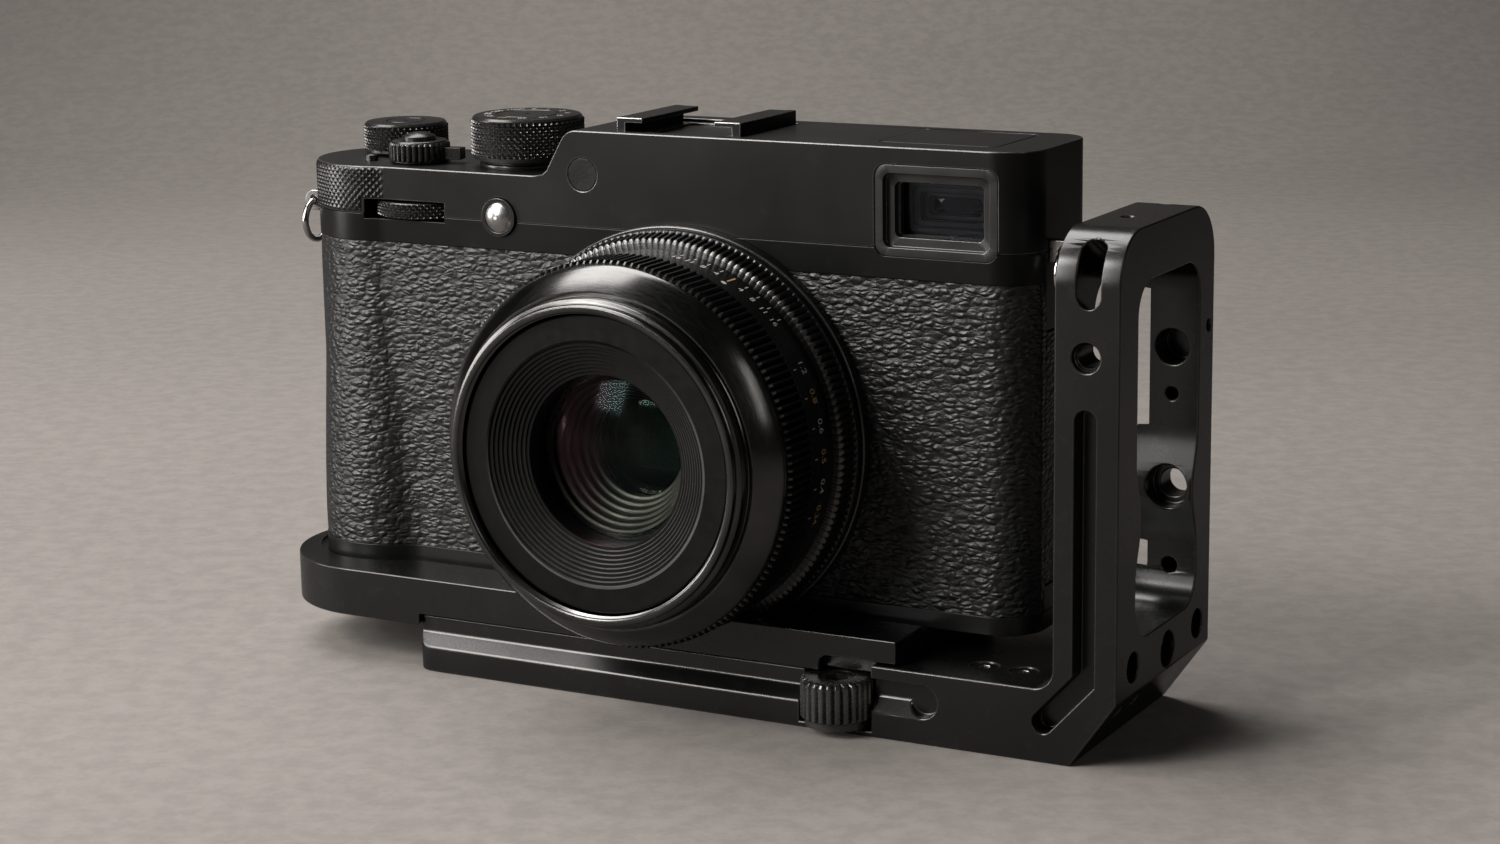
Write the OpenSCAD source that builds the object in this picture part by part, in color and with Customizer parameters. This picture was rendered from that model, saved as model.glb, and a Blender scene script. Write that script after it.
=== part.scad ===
// Rangefinder-style camera with a compact lens, carried on a sliding L-bracket.
// Millimetres. X runs along the rail to the upright, Y from the lens to the screen, Z up.
// The origin is on the underside of the rail, below the lens axis and midway across the rail.

/* [Bracket] */
// Width of the rail across its dovetail
rail_w = 38; // [36:0.5:46]
// Length of the rail to the left of the lens axis
rail_left = 43.7; // [38:0.1:52]
// Height of the rail beside the tray
rail_h = 11; // [10.5:0.1:13.5]
// Height of the deck that the tray slides on
deck_h = 8.6; // [8:0.1:9.5]
// Height of the dovetail's flange
flange_h = 4; // [3.4:0.1:4.6]
// Depth of the dovetail's groove
groove_d = 2; // [1.5:0.1:2.4]
// Height of the upright
upright_h = 77.5; // [66:0.1:92]
// Thickness of the upright
upright_t = 9.85; // [8.5:0.05:12]
// Space for cables between the camera and the upright
cable_gap = 8.85; // [7.5:0.05:12]
// Width of the upright's front bar
front_bar = 7.3; // [6.5:0.1:8.5]
// Width of the upright's rear bar
rear_bar = 6; // [5.5:0.1:7]
// Radius of the upright's upper corners
upright_r = 8; // [6.5:0.5:11]
// Radius of the window's corners
window_r = 5; // [3:0.5:7]

/* [Tray] */
// Travel of the tray away from the upright
tray_travel = 20; // [12:1:22]
// Thickness of the tray above the rail
tray_t = 5.9; // [5.2:0.1:7]
// Depth of the recess that the camera sits in
recess_d = 0.6; // [0.3:0.1:1.2]
// Margin of the recess around the camera
recess_gap = 1.2; // [0.8:0.1:2]
// Set-back of the tray's front wall from the rail's front
tray_setback = 1; // [0.6:0.1:1.6]
// Reach of the tray to the left of the lens axis
tray_left = 75.4; // [75:0.1:90]
// Reach of the tray to the right of the lens axis
tray_right = 41.1; // [39:0.1:44]
// Width of the tongue under the tray
tongue_w = 14; // [11:0.5:15]
// Radius of the lock wheel
wheel_r = 5.55; // [5:0.05:5.9]

/* [Camera] */
// Width of the camera
body_w = 130.8; // [124:0.1:158]
// Depth of the camera without lens and eyepiece
body_d = 24; // [23:0.5:32]
// Height of the camera without its dials
body_h = 72.2; // [68:0.1:90]
// Drop from the upper deck to the dial deck
deck_drop = 7.4; // [6.8:0.1:9]
// Lens axis from the camera's right side
lens_inset = 57.5; // [55:0.5:62]
// Lens axis above the camera's underside
lens_rise = 26.8; // [25.8:0.1:30]
// Camera's front face behind the rail's front edge
body_setback = 12; // [11:0.5:14]
// Wall of the camera's covers
wall = 1.4; // [1.1:0.1:1.8]
// Radius of the camera's left end
end_r = 12; // [10:0.5:12.5]
// Height of the smooth band at the bottom
base_band = 2.8; // [2.4:0.1:3.6]
// Height of the smooth band above the leather
top_band = 4.5; // [3.8:0.1:5.5]
// Depth of the upper cover below the upper deck
cover_h = 15; // [14.4:0.1:17]
// How far the grip swells from the front
grip_out = 3.2; // [1.5:0.1:4]
// Thickness of the leather
leather_t = 0.6; // [0.4:0.1:0.9]

/* [Lens] */
// Radius of the mount ring
mount_r = 31.9; // [30.5:0.1:32.2]
// Width of the aperture ring
aperture_w = 4.7; // [4:0.1:6]
// Width of the scale between the rings
scale_w = 6.6; // [5:0.1:8]
// Radius of the scale
scale_r = 29.05; // [28.4:0.05:29.3]
// Width of the focus ring
focus_w = 6.5; // [5:0.1:9]
// Radius of the focus ring
focus_r = 29.5; // [29:0.1:30.5]
// Radius of the filter thread
filter_r = 22.9; // [22.5:0.1:23.4]
// Radius of the front glass
glass_r = 12.5; // [11:0.1:13]

/* [Dials and buttons] */
// Radius of the shutter dial
shutter_r = 9.1; // [7.6:0.1:9.6]
// Height of the shutter dial above the dial deck
shutter_h = 8.2; // [6:0.1:9.8]
// Radius of the exposure dial
exposure_r = 7; // [5.8:0.1:8.2]
// Height of the exposure dial above the dial deck
exposure_h = 5.3; // [4:0.1:6.5]
// Radius of the front and rear command dials
command_r = 8.6; // [8:0.1:9.4]

/* [Hidden] */
$fn = 96;
run = 0.05;      // radial clearance of a shaft
gap = 0.3;       // clearance between sliding pieces
thin = 0.15;     // clearance of a turning ring or a lid
eps = 0.01;

half_w = rail_w / 2;
rail_front = -half_w;
body_y = rail_front + body_setback;
body_back = body_y + body_d;
body_right = lens_inset;
body_left = body_right - body_w;
upright_x = body_right + cable_gap;
plate_right = upright_x + upright_t;
step_x = tray_right + gap;
channel_z = 3;
wheel_x = 31.5;
wheel_y = rail_front + 0.8;
wheel_z = 1.2;
wheel_top = deck_h - 0.05;
cam_r = wheel_r - 0.6;
cam_h = 1.2;
cam_shift = 0.25;
pocket_r = wheel_r + 0.45;
shoe_x = 2;
shoe_z = wheel_z + 0.15;
shoe_h = 0.9;
shoe_foot = 2;
shoe_rise = 1.5;
window_lo = rail_front + front_bar;
window_hi = half_w - rear_bar;
window_z0 = rail_h + 6.4;
window_z1 = upright_h - 8;
bulge_z = 35;
bar_x = upright_x + 5.4;
socket_x = 54;
face_hole = [1.5, 13.1];
bar_hole_r = 1.65;
socket_y = 2;
thread_r = 2.6;
m4_r = 2;
lip_x = 29;
lip_w = 3;
rail_end_r = 3;

tray_z = deck_h + gap;
tray_top = tray_z + tray_t;
tray_y = rail_front + tray_setback;
body_z = tray_top - recess_d;
body_top = body_z + body_h;
low_top = body_top - deck_drop;
cover_z = body_top - cover_h;
leather_z0 = body_z + base_band;
leather_z1 = cover_z - top_band;
split_y = body_y + 20;
lens_z = body_z + lens_rise;
step_lo = -25.5;
step_hi = -18.5;
screw_y = body_y + 14;
boss_r = min(6, body_back - leather_t - wall - 2 - screw_y);
guide_x = [-14, 30];

neck_r = 28.4;
mount_a = -body_y + 2;
aperture_a = mount_a + thin;
scale_a = aperture_a + aperture_w + thin;
focus_a = scale_a + scale_w + thin;
bezel_a = focus_a + focus_w + thin;
rim_a = bezel_a + 8.35;
cone_a = rim_a - 1.3;
glass_a = rim_a - 5.2;
sleeve_r = scale_r - 2;
tube_r = focus_r - 3.4;
iris_a = mount_a + 5.8;
inner_a = mount_a + 10.8;
inner_r = 8;

dial_x = -34;
dial_y = body_y + 11;
exposure_x = body_left + 11.7;
exposure_y = body_back - 7;
collar_x = body_left + 20.7;
collar_y = body_y + 7.6;
collar_r = 4.65;
command_x = body_left + 22.6;
command_y = body_y - 1.4 + command_r;
command_z = low_top - 6.85;
rear_command_x = body_left + 29.8;
rear_command_y = body_back + 0.8 - command_r;
rear_command_z = low_top - 3.45;
command_t = 2.5;
pin_x = body_left + 12.3;
pin_y = body_y + 6.1;
front_button_x = -32.8;
front_button_z = cover_z + 0.7;
finder_lo = [32.7, body_top - 16.2];
finder_hi = [52.4, body_top - 2.6];
plate_lo = [finder_lo.x - 2.2, body_y + 5.2];
plate_hi = [finder_hi.x - 2.4, body_back - 2.5];
shoe_mid = -1.6;
shoe_sink = 0.7;
shoe_lo = body_y + 2.4;
shoe_hi = shoe_lo + 18.5;
lug_z = body_top - 15.1;
lug_left = [body_left - 2, body_y + 10];
lug_right = [body_right + 2.2, body_y + 8];
ring_r = 3.3;
eye = [44, body_top - 11.9];
port_y = body_y + 7.2;
port_w = 11.5;
port_z = [body_z + 6.8, leather_z1 - 7.4];
door_lo = [body_left + 7.3, body_y + 4];
door_hi = [body_left + 25.8, body_y + 17];
sensor_y = body_y + 14.5;
board_y = sensor_y + 2.1;
stick = [-44.5, board_y + 3.2, lens_z + 5];

// ---- shapes used by several pieces

module span_x(x0, x1) {
  translate([x0, 0, 0]) rotate([90, 0, 90]) linear_extrude(x1 - x0) children();
}

module span_y(y0, y1) {
  translate([0, y1, 0]) rotate([90, 0, 0]) linear_extrude(y1 - y0) children();
}

module span_z(z0, z1) {
  translate([0, 0, z0]) linear_extrude(z1 - z0) children();
}

module block(lo, hi) {
  translate(lo) cube(hi - lo);
}

module rod_x(r, x0, x1, y, z) {
  translate([x0, y, z]) rotate([0, 90, 0]) cylinder(r = r, h = x1 - x0);
}

module rod_y(r, y0, y1, x, z) {
  translate([x, y0, z]) rotate([-90, 0, 0]) cylinder(r = r, h = y1 - y0);
}

module rod_z(r, z0, z1, x, y) {
  translate([x, y, z0]) cylinder(r = r, h = z1 - z0);
}

module rounded(lo, hi, r) {
  translate([lo.x + r, lo.y]) square([hi.x - lo.x - 2 * r, hi.y - lo.y]);
  translate([lo.x, lo.y + r]) square([hi.x - lo.x, hi.y - lo.y - 2 * r]);
  for (x = [lo.x + r, hi.x - r], y = [lo.y + r, hi.y - r]) translate([x, y]) circle(r);
}

module slot_z(r, x0, x1, y, z0, z1) {
  span_z(z0, z1) {
    translate([x0, y - r]) square([x1 - x0, 2 * r]);
    translate([x0, y]) circle(r);
    translate([x1, y]) circle(r);
  }
}

// A solid turned about the lens axis, from [radius, distance in front of the origin] points.
module turned(points) {
  translate([0, 0, lens_z]) rotate([90, 0, 0]) rotate_extrude() polygon(points);
}

function arc(cx, cy, r, a0, a1, n = 12) =
  [for (i = [0:n]) let (a = a0 + (a1 - a0) * i / n) [cx + r * cos(a), cy + r * sin(a)]];

// Half of a lens section from the axis to its edge, with a curved front and a curved back.
function lens_section(r, front_a, back_a, front_R, back_R) =
  let (front_c = front_a - front_R, back_c = back_a + back_R,
       fa = asin(r / front_R), ba = asin(r / back_R))
  concat(arc(0, front_c, front_R, 90, 90 - fa), arc(0, back_c, back_R, 270 + ba, 270));

function bend(c, r, a0, a1) = arc(c.x, c.y, r, a0, a1, ceil(abs(a1 - a0) / 6));

// The camera's outline seen from above, grown by g, with the grip standing out by swell.
module plan(g = 0, swell = 0.8, end = end_r) {
  corner_r = 6.5;
  back_r = 5;
  fillet_r = 8;
  rear_c = [body_left + end_r, body_back - end_r];
  grip_c = [body_left + 13.3, body_y - swell + end];
  away = grip_c - rear_c;
  side = atan2(away.y, away.x) - acos((end_r - end) / norm(away)) + 360;
  rise = fillet_r - body_y + grip_c.y;
  turn = -asin(rise / (end + fillet_r));
  fillet_c = [grip_c.x + (end + fillet_r) * cos(turn), body_y - fillet_r];
  polygon(concat(
    bend([body_right - corner_r, body_y + corner_r], corner_r + g, 270, 360),
    bend([body_right - back_r, body_back - back_r], back_r + g, 0, 90),
    bend(rear_c, end_r + g, 90, side),
    bend(grip_c, end + g, side, 360 + turn),
    bend(fillet_c, fillet_r - g, 180 + turn, 90)));
}

module low_plan(g = 0) {
  plan(g, grip_out, end_r + 0.5);
}

// A milled groove in a 2D view, from top straight down to elbow and off to end, with round ends.
module bent_groove(top, elbow, end, r) {
  way = atan2(end.y - elbow.y, end.x - elbow.x) + 360;
  across = (270 + way) / 2 + 90;
  corner = r / cos((270 - way) / 2) * [cos(across), sin(across)];
  polygon(concat(bend(top, r, 0, 180), [elbow - corner], bend(end, r, way - 90, way + 90), [elbow + corner]));
}

// ---- bracket

// One side of the dovetail's groove, seen from the rail's end.
module groove_section(top) {
  polygon([
    [rail_front - 1, flange_h - 1], [rail_front + groove_d, flange_h + groove_d],
    [rail_front + groove_d, top], [rail_front - 1, top]
  ]);
}

module dovetail_cut(open_x) {
  slot_h = 5;
  end_x = 45.7;
  span_x(-rail_left - 1, open_x) groove_section(rail_h + 1);
  span_x(-rail_left - 1, end_x) groove_section(flange_h + slot_h);
  rod_y(slot_h / 2, rail_front - 1, rail_front + groove_d, end_x, flange_h + slot_h / 2);
}

// The rail's outline at its left end seen from above, grown by g.
module rail_end(g = 0) {
  r = rail_end_r;
  translate([-rail_left + r, rail_front - g]) square([rail_left, rail_w + 2 * g]);
  translate([-rail_left - g, rail_front + r]) square([rail_left, rail_w - 2 * r]);
  for (side = [-1, 1]) translate([-rail_left + r, side * (half_w - r)]) circle(r + g);
}

module upright_corner_cut(r) {
  difference() {
    translate([-r - 1, 0]) square([r + 1, r + 1]);
    circle(r);
  }
}

module window_shape() {
  bulge = 2;
  reach = 9;
  wave = [for (i = [-8:8]) [bulge / 2 * (1 + cos(i * 22.5)), i * reach / 8]];
  difference() {
    rounded([window_lo, window_z0], [window_hi, window_z1], window_r);
    for (side = [[window_lo, 1], [window_hi, -1]])
      translate([side[0], bulge_z]) scale([side[1], 1])
        polygon(concat([[-1, -reach]], wave, [[-1, reach]]));
  }
}

module l_plate() {
  fillet_r = 3;
  chamfer = [7.1, 9.95];
  groove_x = bar_x - 0.65;
  color([0.08, 0.08, 0.08])
  difference() {
    span_y(rail_front, half_w) {
      polygon([
        [-rail_left, 0], [plate_right - chamfer.x, 0], [plate_right, chamfer.y],
        [plate_right, upright_h], [upright_x, upright_h], [upright_x, rail_h], [-rail_left, rail_h]
      ]);
      difference() {
        translate([upright_x - fillet_r, rail_h - eps]) square([fillet_r + eps, fillet_r + eps]);
        translate([upright_x - fillet_r, rail_h + fillet_r]) circle(fillet_r);
      }
    }
    // deck for the tray, with a lip left in front of its right end
    difference() {
      block([-rail_left - 1, rail_front - 1, deck_h], [step_x, half_w + 1, rail_h + 1]);
      block([lip_x, rail_front - 2, 0], [step_x + 1, rail_front + lip_w, rail_h + 2]);
    }
    block([-rail_left - 1, -tongue_w / 2 - 0.2, channel_z], [step_x, tongue_w / 2 + 0.2, rail_h + 1]);
    dovetail_cut(lip_x);
    mirror([0, 1, 0]) dovetail_cut(step_x);
    // rounded left end
    span_z(-1, rail_h + 1) difference() {
      translate([-rail_left - 1, -rail_w]) square([rail_end_r + 1, 2 * rail_w]);
      rail_end();
    }
    // lock wheel and its shoe
    rod_z(pocket_r, wheel_z - gap, rail_h + 1, wheel_x, wheel_y);
    rod_z(1.5, -1, wheel_z, wheel_x, wheel_y);
    block([wheel_x - shoe_x - 0.1, wheel_y, shoe_z - 0.1],
      [wheel_x + shoe_x + 0.1, -tongue_w / 2, shoe_z + shoe_h + 0.1]);
    block([wheel_x - shoe_x - 0.1, -tongue_w / 2 - shoe_foot - 0.8, shoe_z - 0.1],
      [wheel_x + shoe_x + 0.1, -tongue_w / 2, channel_z + shoe_rise + 0.2]);
    // ways for the screws under the tray
    rod_z(6.2, -1, rail_h + 1, 0, screw_y);
    for (x = guide_x) {
      slot_z(m4_r + thin, x - tray_travel, x, 0, -1, channel_z + 1);
      slot_z(2 * m4_r, x - tray_travel, x, 0, -1, 1.6);
    }
    rod_z(thread_r, -1, 8, socket_x, socket_y);
    for (x = [52.6, 58.8]) {
      rod_z(1.05, 4.8, rail_h + 1, x, rail_front + 7.5);
      rod_z(2.1, rail_h - 1.7, rail_h + 1, x, rail_front + 7.5);
    }
    // upright
    span_x(upright_x - 1, plate_right + 1) {
      window_shape();
      translate([rail_front + upright_r, upright_h - upright_r]) upright_corner_cut(upright_r);
      translate([half_w - upright_r, upright_h - upright_r]) mirror([1, 0])
        upright_corner_cut(upright_r);
    }
    block([upright_x - 1, window_hi, window_z0], [upright_x + 2, half_w + 1, window_z1]);
    span_y(rail_front - 1, rail_front + 3.2)
      bent_groove([groove_x, 50.8], [groove_x, 12.8], [upright_x - 1.5, 6], 1.6);
    translate([bar_x - 0.35, rail_front + 1.2, upright_h - 7.2]) rotate([-27, 0, 0])
      span_y(-6, 9) rounded([-1.8, -3.6], [1.8, 6.2], 1.79);
    rod_y(2.15, rail_front - 1, rail_front + 1.2, groove_x, upright_h - 17.6);
    rod_y(bar_hole_r, rail_front, window_lo + 1, groove_x, upright_h - 17.6);
    rod_y(3.3, window_hi - 4, window_hi + 1.5, bar_x + 0.15, bulge_z);
    rod_y(m4_r + 0.1, window_hi, half_w + 1, bar_x + 0.15, bulge_z);
    rod_y(2.7, window_hi - 1, half_w - 1, bar_x + 0.15, upright_h - 21.5);
    rod_y(1, window_hi - 1, half_w - 1, bar_x + 0.15, upright_h - 28.6);
    rod_y(1.2, window_hi - 1, half_w - 1, bar_x + 0.15, window_z0 + 5.2);
    // outer face
    rod_x(thread_r, plate_right - 7.5, plate_right + 1, face_hole.x, face_hole.y);
    translate([plate_right - 0.2, face_hole.x, face_hole.y]) rotate([0, 90, 0])
      cylinder(r1 = thread_r, r2 = thread_r + 0.4, h = 0.4);
    for (at = [[-12.5, 14], [13.8, 13.8]]) rod_x(2.2, plate_right - 5, plate_right + 1, at.x, at.y);
    rod_x(0.9, plate_right - 4, plate_right + 1, half_w - 2.1, upright_h - 18.5);
    for (y = [-13.5, -6.5]) translate([plate_right - 1.7, y, 7.6]) rotate([0, 125.5, 0])
      translate([0, 0, -3]) cylinder(r = 1.2, h = 6);
    for (y = [-2.2, 12.1]) rod_z(1, upright_h - 5, upright_h + 1, bar_x - 1.1, y);
  }
}

module deck_screws() {
  color([0.2, 0.2, 0.2]) for (x = [52.6, 58.8]) difference() {
    union() {
      rod_z(2, rail_h - 1.7, rail_h - 0.2, x, rail_front + 7.5);
      rod_z(1, 5, rail_h - 1.7, x, rail_front + 7.5);
    }
    translate([x, rail_front + 7.5, rail_h - 1.2]) cylinder(r = 0.9, h = 2, $fn = 6);
  }
}

module lock_wheel() {
  bevel = 0.4;
  color([0.12, 0.12, 0.12]) difference() {
    union() {
      rod_z(wheel_r, wheel_z + cam_h, wheel_top - bevel, wheel_x, wheel_y);
      translate([wheel_x, wheel_y, wheel_top - bevel]) cylinder(r1 = wheel_r, r2 = wheel_r - bevel, h = bevel);
      rod_z(cam_r, wheel_z, wheel_z + cam_h, wheel_x, wheel_y + cam_shift);
      rod_z(1.5 - run, 0.1, wheel_z, wheel_x, wheel_y);
    }
    translate([wheel_x, wheel_y, wheel_top - 3]) cylinder(r = 1.9, h = 4, $fn = 6);
  }
}

module lock_shoe() {
  front = wheel_y + cam_shift + cam_r + 0.08;
  back = -tongue_w / 2 - 0.05;
  color("goldenrod") {
    block([wheel_x - shoe_x, front, shoe_z], [wheel_x + shoe_x, back, shoe_z + shoe_h]);
    block([wheel_x - shoe_x, back - shoe_foot, shoe_z], [wheel_x + shoe_x, back, channel_z + shoe_rise]);
  }
}

module tray_outline() {
  end_r = -tray_y;
  translate([-tray_left + end_r, tray_y]) square([tray_left - end_r + tray_right, 2 * end_r]);
  translate([-tray_left + end_r, 0]) circle(end_r);
}

module camera_tray() {
  foot_z = 7.05;
  color([0.08, 0.08, 0.08]) difference() {
    union() {
      span_z(tray_z, tray_top) tray_outline();
      span_z(foot_z, tray_z) intersection() {
        tray_outline();
        difference() {
          translate([-tray_left - 1, -rail_w]) square([tray_left - rail_left + 2, 2 * rail_w]);
          rail_end(gap);
        }
      }
      block([-20, -tongue_w / 2, channel_z + gap], [tray_right - gap, tongue_w / 2, tray_z + eps]);
    }
    span_z(body_z, tray_top + 1) low_plan(recess_gap);
    rod_y(scale_r + 0.5, tray_y - 1, -scale_a, 0, lens_z);
    rod_y(mount_r + 0.5, -scale_a - thin, body_y, 0, lens_z);
    block([-40, body_y + 2, body_z - 1], [36, body_back - 5, body_z + 1]);
    rod_z(5.8, 0, tray_z + 2.3, 0, screw_y);
    rod_z(3.4, 0, body_z + 1, 0, screw_y);
    for (x = guide_x) rod_z(m4_r, 0, tray_z - 1, x, 0);
    span_y(tray_y - 1, rail_front + lip_w + gap)
      rounded([lip_x - 2 * gap, 0], [tray_right + 5, rail_h + gap], 1.5);
    block([door_lo.x - 2, door_lo.y - 1, 0], [door_hi.x + 1, door_hi.y + 1, tray_top + 1]);
  }
}

module tray_pad() {
  color([0.15, 0.15, 0.15]) difference() {
    block([-40, body_y + 2, body_z - 1], [36, body_back - 5, body_z]);
    rod_z(3.6, 0, body_z + 1, 0, screw_y);
  }
}

module tripod_screw() {
  color("silver") difference() {
    union() {
      rod_z(5.5, tray_z + 0.1, tray_z + 2.3, 0, screw_y);
      rod_z(3.2 - run, tray_z + 2.3, body_z + 5, 0, screw_y);
    }
    translate([0, screw_y, tray_z]) cylinder(r = 2.3, h = 1.6, $fn = 6);
  }
}

module guide_screws() {
  color("silver") for (x = guide_x) difference() {
    union() {
      rod_z(2 * m4_r - 0.25, 0.15, 1.5, x, 0);
      rod_z(m4_r - 0.03, 1.5, tray_z - 1.3, x, 0);
    }
    translate([x, 0, 0]) cylinder(r = 1.4, h = 1, $fn = 6);
  }
}

// ---- camera covers and frame

module chassis() {
  front = body_y + leather_t + wall;
  box_x = 23;
  box_z = 20;
  post_z = leather_z1 + 1.7;
  color([0.35, 0.35, 0.36]) difference() {
    union() {
      block([-46, front, leather_z0], [50, front + 1.6, leather_z1 + 1]);
      block([-box_x, front + 1.6, lens_z - box_z], [box_x, sensor_y, lens_z + box_z]);
      block([door_hi.x - 1, front, leather_z0], [-46 + eps, door_lo.y + 7, leather_z1 - 8]);
      block([command_x - 7.3, front, leather_z1 + 0.3], [-38, command_y + 4, post_z]);
      rod_z(2.6, post_z, command_z - command_t / 2 - thin, command_x, command_y);
      rod_z(1.4, post_z, command_z + 1.8, command_x, command_y);
    }
    block([-box_x + 1.8, front + 1.7, lens_z - box_z + 1.8], [box_x - 1.8, body_back, lens_z + box_z - 1.8]);
    rod_y(22.2, front - 1, front + 2, 0, lens_z);
    mount_screw_spots() rod_y(0.9, front - 1, front + 3, 0, 0);
    rod_y(2.9, front - 1, front + 3, -29.5, lens_z - 20.6);
  }
}

// The openings that the front cover and the upper cover share.
module shared_openings() {
  span_y(body_y - 2, body_y + wall + 2) rounded(finder_lo, finder_hi, 1.8);
  rod_y(3.1, body_y - 2, body_y + wall + 2, front_button_x, front_button_z);
  block([command_x - 7.5, body_y - 5, command_z - 1.55], [command_x + 7.5, command_y, command_z + 1.55]);
  block([35, body_back - 3, finder_lo.y - 1.6], [53, body_back + 1, finder_hi.y - 3.4]);
}

module front_cover() {
  skin = leather_t + wall;
  color([0.1, 0.1, 0.1]) difference() {
    intersection() {
      union() {
        span_z(leather_z0, leather_z1) difference() {
          plan(-leather_t);
          plan(-skin);
        }
        span_z(leather_z1, cover_z) difference() {
          plan();
          plan(-skin);
        }
        span_z(leather_z0, leather_z1) intersection() {
          difference() {
            plan();
            plan(-skin);
          }
          translate([body_right - 3, port_y - 2]) square([10, body_d]);
        }
      }
      block([body_left - 5, body_y - 5, 0], [body_right + 5, split_y, body_top]);
    }
    rod_y(neck_r + 0.2, body_y - 1, body_y + skin + 1, 0, lens_z);
    rod_y(2.75, body_y - 1, body_y + skin + 1, -29.5, lens_z - 20.6);
    block([body_right - skin - 1, port_y - 2, port_z[0] - 0.1],
      [body_right + 1, port_y + port_w + 0.1, port_z[1] + 0.1]);
    shared_openings();
  }
}

module rear_cover() {
  skin = leather_t + wall;
  color([0.1, 0.1, 0.1]) difference() {
    intersection() {
      span_z(leather_z0, cover_z) plan();
      block([body_left - 5, split_y, 0], [body_right + 5, body_back + 1, body_top]);
    }
    span_z(leather_z0 - 1, cover_z + 1) plan(-skin);
    span_y(body_back - 4, body_back + 1) rounded([-30, leather_z0 + 4], [32, leather_z1 - 2], 2);
    for (z = [0, 31]) rod_y(2.75, body_back - 4, body_back + 1, -38.5, lens_z - 11 + z);
    rod_y(3.2, body_back - 4, body_back + 1, stick.x, stick.z);
    shared_openings();
  }
}

// The step from the dial deck to the upper deck, seen from the front and lowered by drop.
module deck_profile(drop) {
  polygon(concat(
    [[body_left - 1, cover_z - 1], [body_right + 1, cover_z - 1], [body_right + 1, body_top - drop]],
    arc(step_hi + drop, body_top - 3 - drop, 3, 90, 150, 6),
    [[step_lo + drop + 1.6, low_top - drop + 1], [step_lo + drop + 0.7, low_top - drop + 0.25],
     [step_lo + drop - 0.6, low_top - drop], [body_left - 1, low_top - drop]]));
}

module top_cover() {
  color([0.1, 0.1, 0.1]) {
    rod_z(1.4, rear_command_z - 1.5, low_top - wall + eps, rear_command_x, rear_command_y);
    rod_z(2.1, low_top - eps, low_top + exposure_h - 1.1, exposure_x, exposure_y);
    difference() {
    intersection() {
      span_z(cover_z, body_top) plan();
      span_y(body_y - 5, body_back + 5) deck_profile(0);
    }
    intersection() {
      span_z(cover_z - 1, body_top) plan(-wall);
      span_y(body_y - 5, body_back + 5) deck_profile(wall);
    }
    rod_z(3.3 + 0.02, low_top - 5, low_top + 1, collar_x, collar_y);
    rod_z(1.12, low_top - 5, low_top + 1, pin_x, pin_y);
    block([shoe_mid - 10.9, shoe_lo, body_top - wall - 1], [shoe_mid + 10.9, shoe_hi, body_top + 1]);
    span_z(body_top - 1.1, body_top + 1) rounded(plate_lo, plate_hi, 1.5);
    rod_y(2.6, body_y - 1, body_y + wall + 1, -17.4, low_top + 0.6);
    block([rear_command_x - 7.5, rear_command_y, rear_command_z - 1.55],
      [rear_command_x + 7.5, body_back + 1, rear_command_z + 1.55]);
    shared_openings();
    }
  }
}

module bottom_cover() {
  skin = wall + leather_t;
  color([0.1, 0.1, 0.1]) difference() {
    union() {
      difference() {
        span_z(body_z, leather_z0) low_plan();
        span_z(body_z + wall, leather_z0 + 1) plan(-skin);
      }
      rod_z(boss_r, body_z + wall - eps, body_z + 6.2, 0, screw_y);
    }
    rod_z(3.2, body_z - 1, body_z + 5.5, 0, screw_y);
    block([door_lo.x - 1.6, door_lo.y, body_z - 1], [door_hi.x, door_hi.y, leather_z0 + 1]);
    for (x = [-38, 46], y = [body_y + 5, body_back - 5]) {
      rod_z(1, body_z - 1, body_z + 3, x, y);
      rod_z(1.8, body_z - 1, body_z + 0.7, x, y);
    }
  }
}

module leather_wrap() {
  color([0.2, 0.2, 0.2]) difference() {
    intersection() {
      span_z(leather_z0, leather_z1) difference() {
        low_plan();
        plan(-leather_t);
      }
      block([body_left - 5, body_y - 6, 0], [body_right + 5, split_y, body_top]);
    }
    block([body_right - 3, port_y - 2, 0], [body_right + 5, body_back, body_top]);
    rod_y(neck_r + 0.2, body_y - 5, body_y + 2, 0, lens_z);
    rod_y(2.75, body_y - 5, body_y + 2, -29.5, lens_z - 20.6);
  }
}

module thumb_rest() {
  color([0.18, 0.18, 0.18])
    span_y(body_back, body_back + 2)
      rounded([body_left + 13.3, lens_z + 10], [body_left + 23.3, leather_z1 - 1], 3);
}

module battery() {
  color([0.25, 0.25, 0.28]) block([door_lo.x + 2, door_lo.y + 1.5, body_z + 1.8],
    [door_hi.x - 1, door_hi.y - 0.5, body_z + 44]);
}

module battery_door() {
  color([0.1, 0.1, 0.1]) {
    block([door_lo.x, door_lo.y + thin, body_z], [door_hi.x - thin, door_hi.y - thin, body_z + 1.5]);
    rod_y(0.7, door_lo.y + 1, door_hi.y - 1, door_lo.x - 0.7, body_z + 0.75);
    block([door_lo.x - 0.7, door_lo.y + 1, body_z + 0.4], [door_lo.x + 0.1, door_hi.y - 1, body_z + 1.1]);
  }
}

module port_door() {
  pin = [body_right - 0.9, port_y - 0.9];
  color([0.12, 0.12, 0.12]) {
    block([body_right - 1.5, port_y, port_z[0] + thin], [body_right, port_y + port_w - thin, port_z[1] - thin]);
    rod_z(0.9, port_z[0] + thin, port_z[1] - thin, pin.x, pin.y);
    block([pin.x - 0.3, pin.y, port_z[0] + thin], [body_right, port_y + 0.1, port_z[1] - thin]);
  }
}

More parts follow.
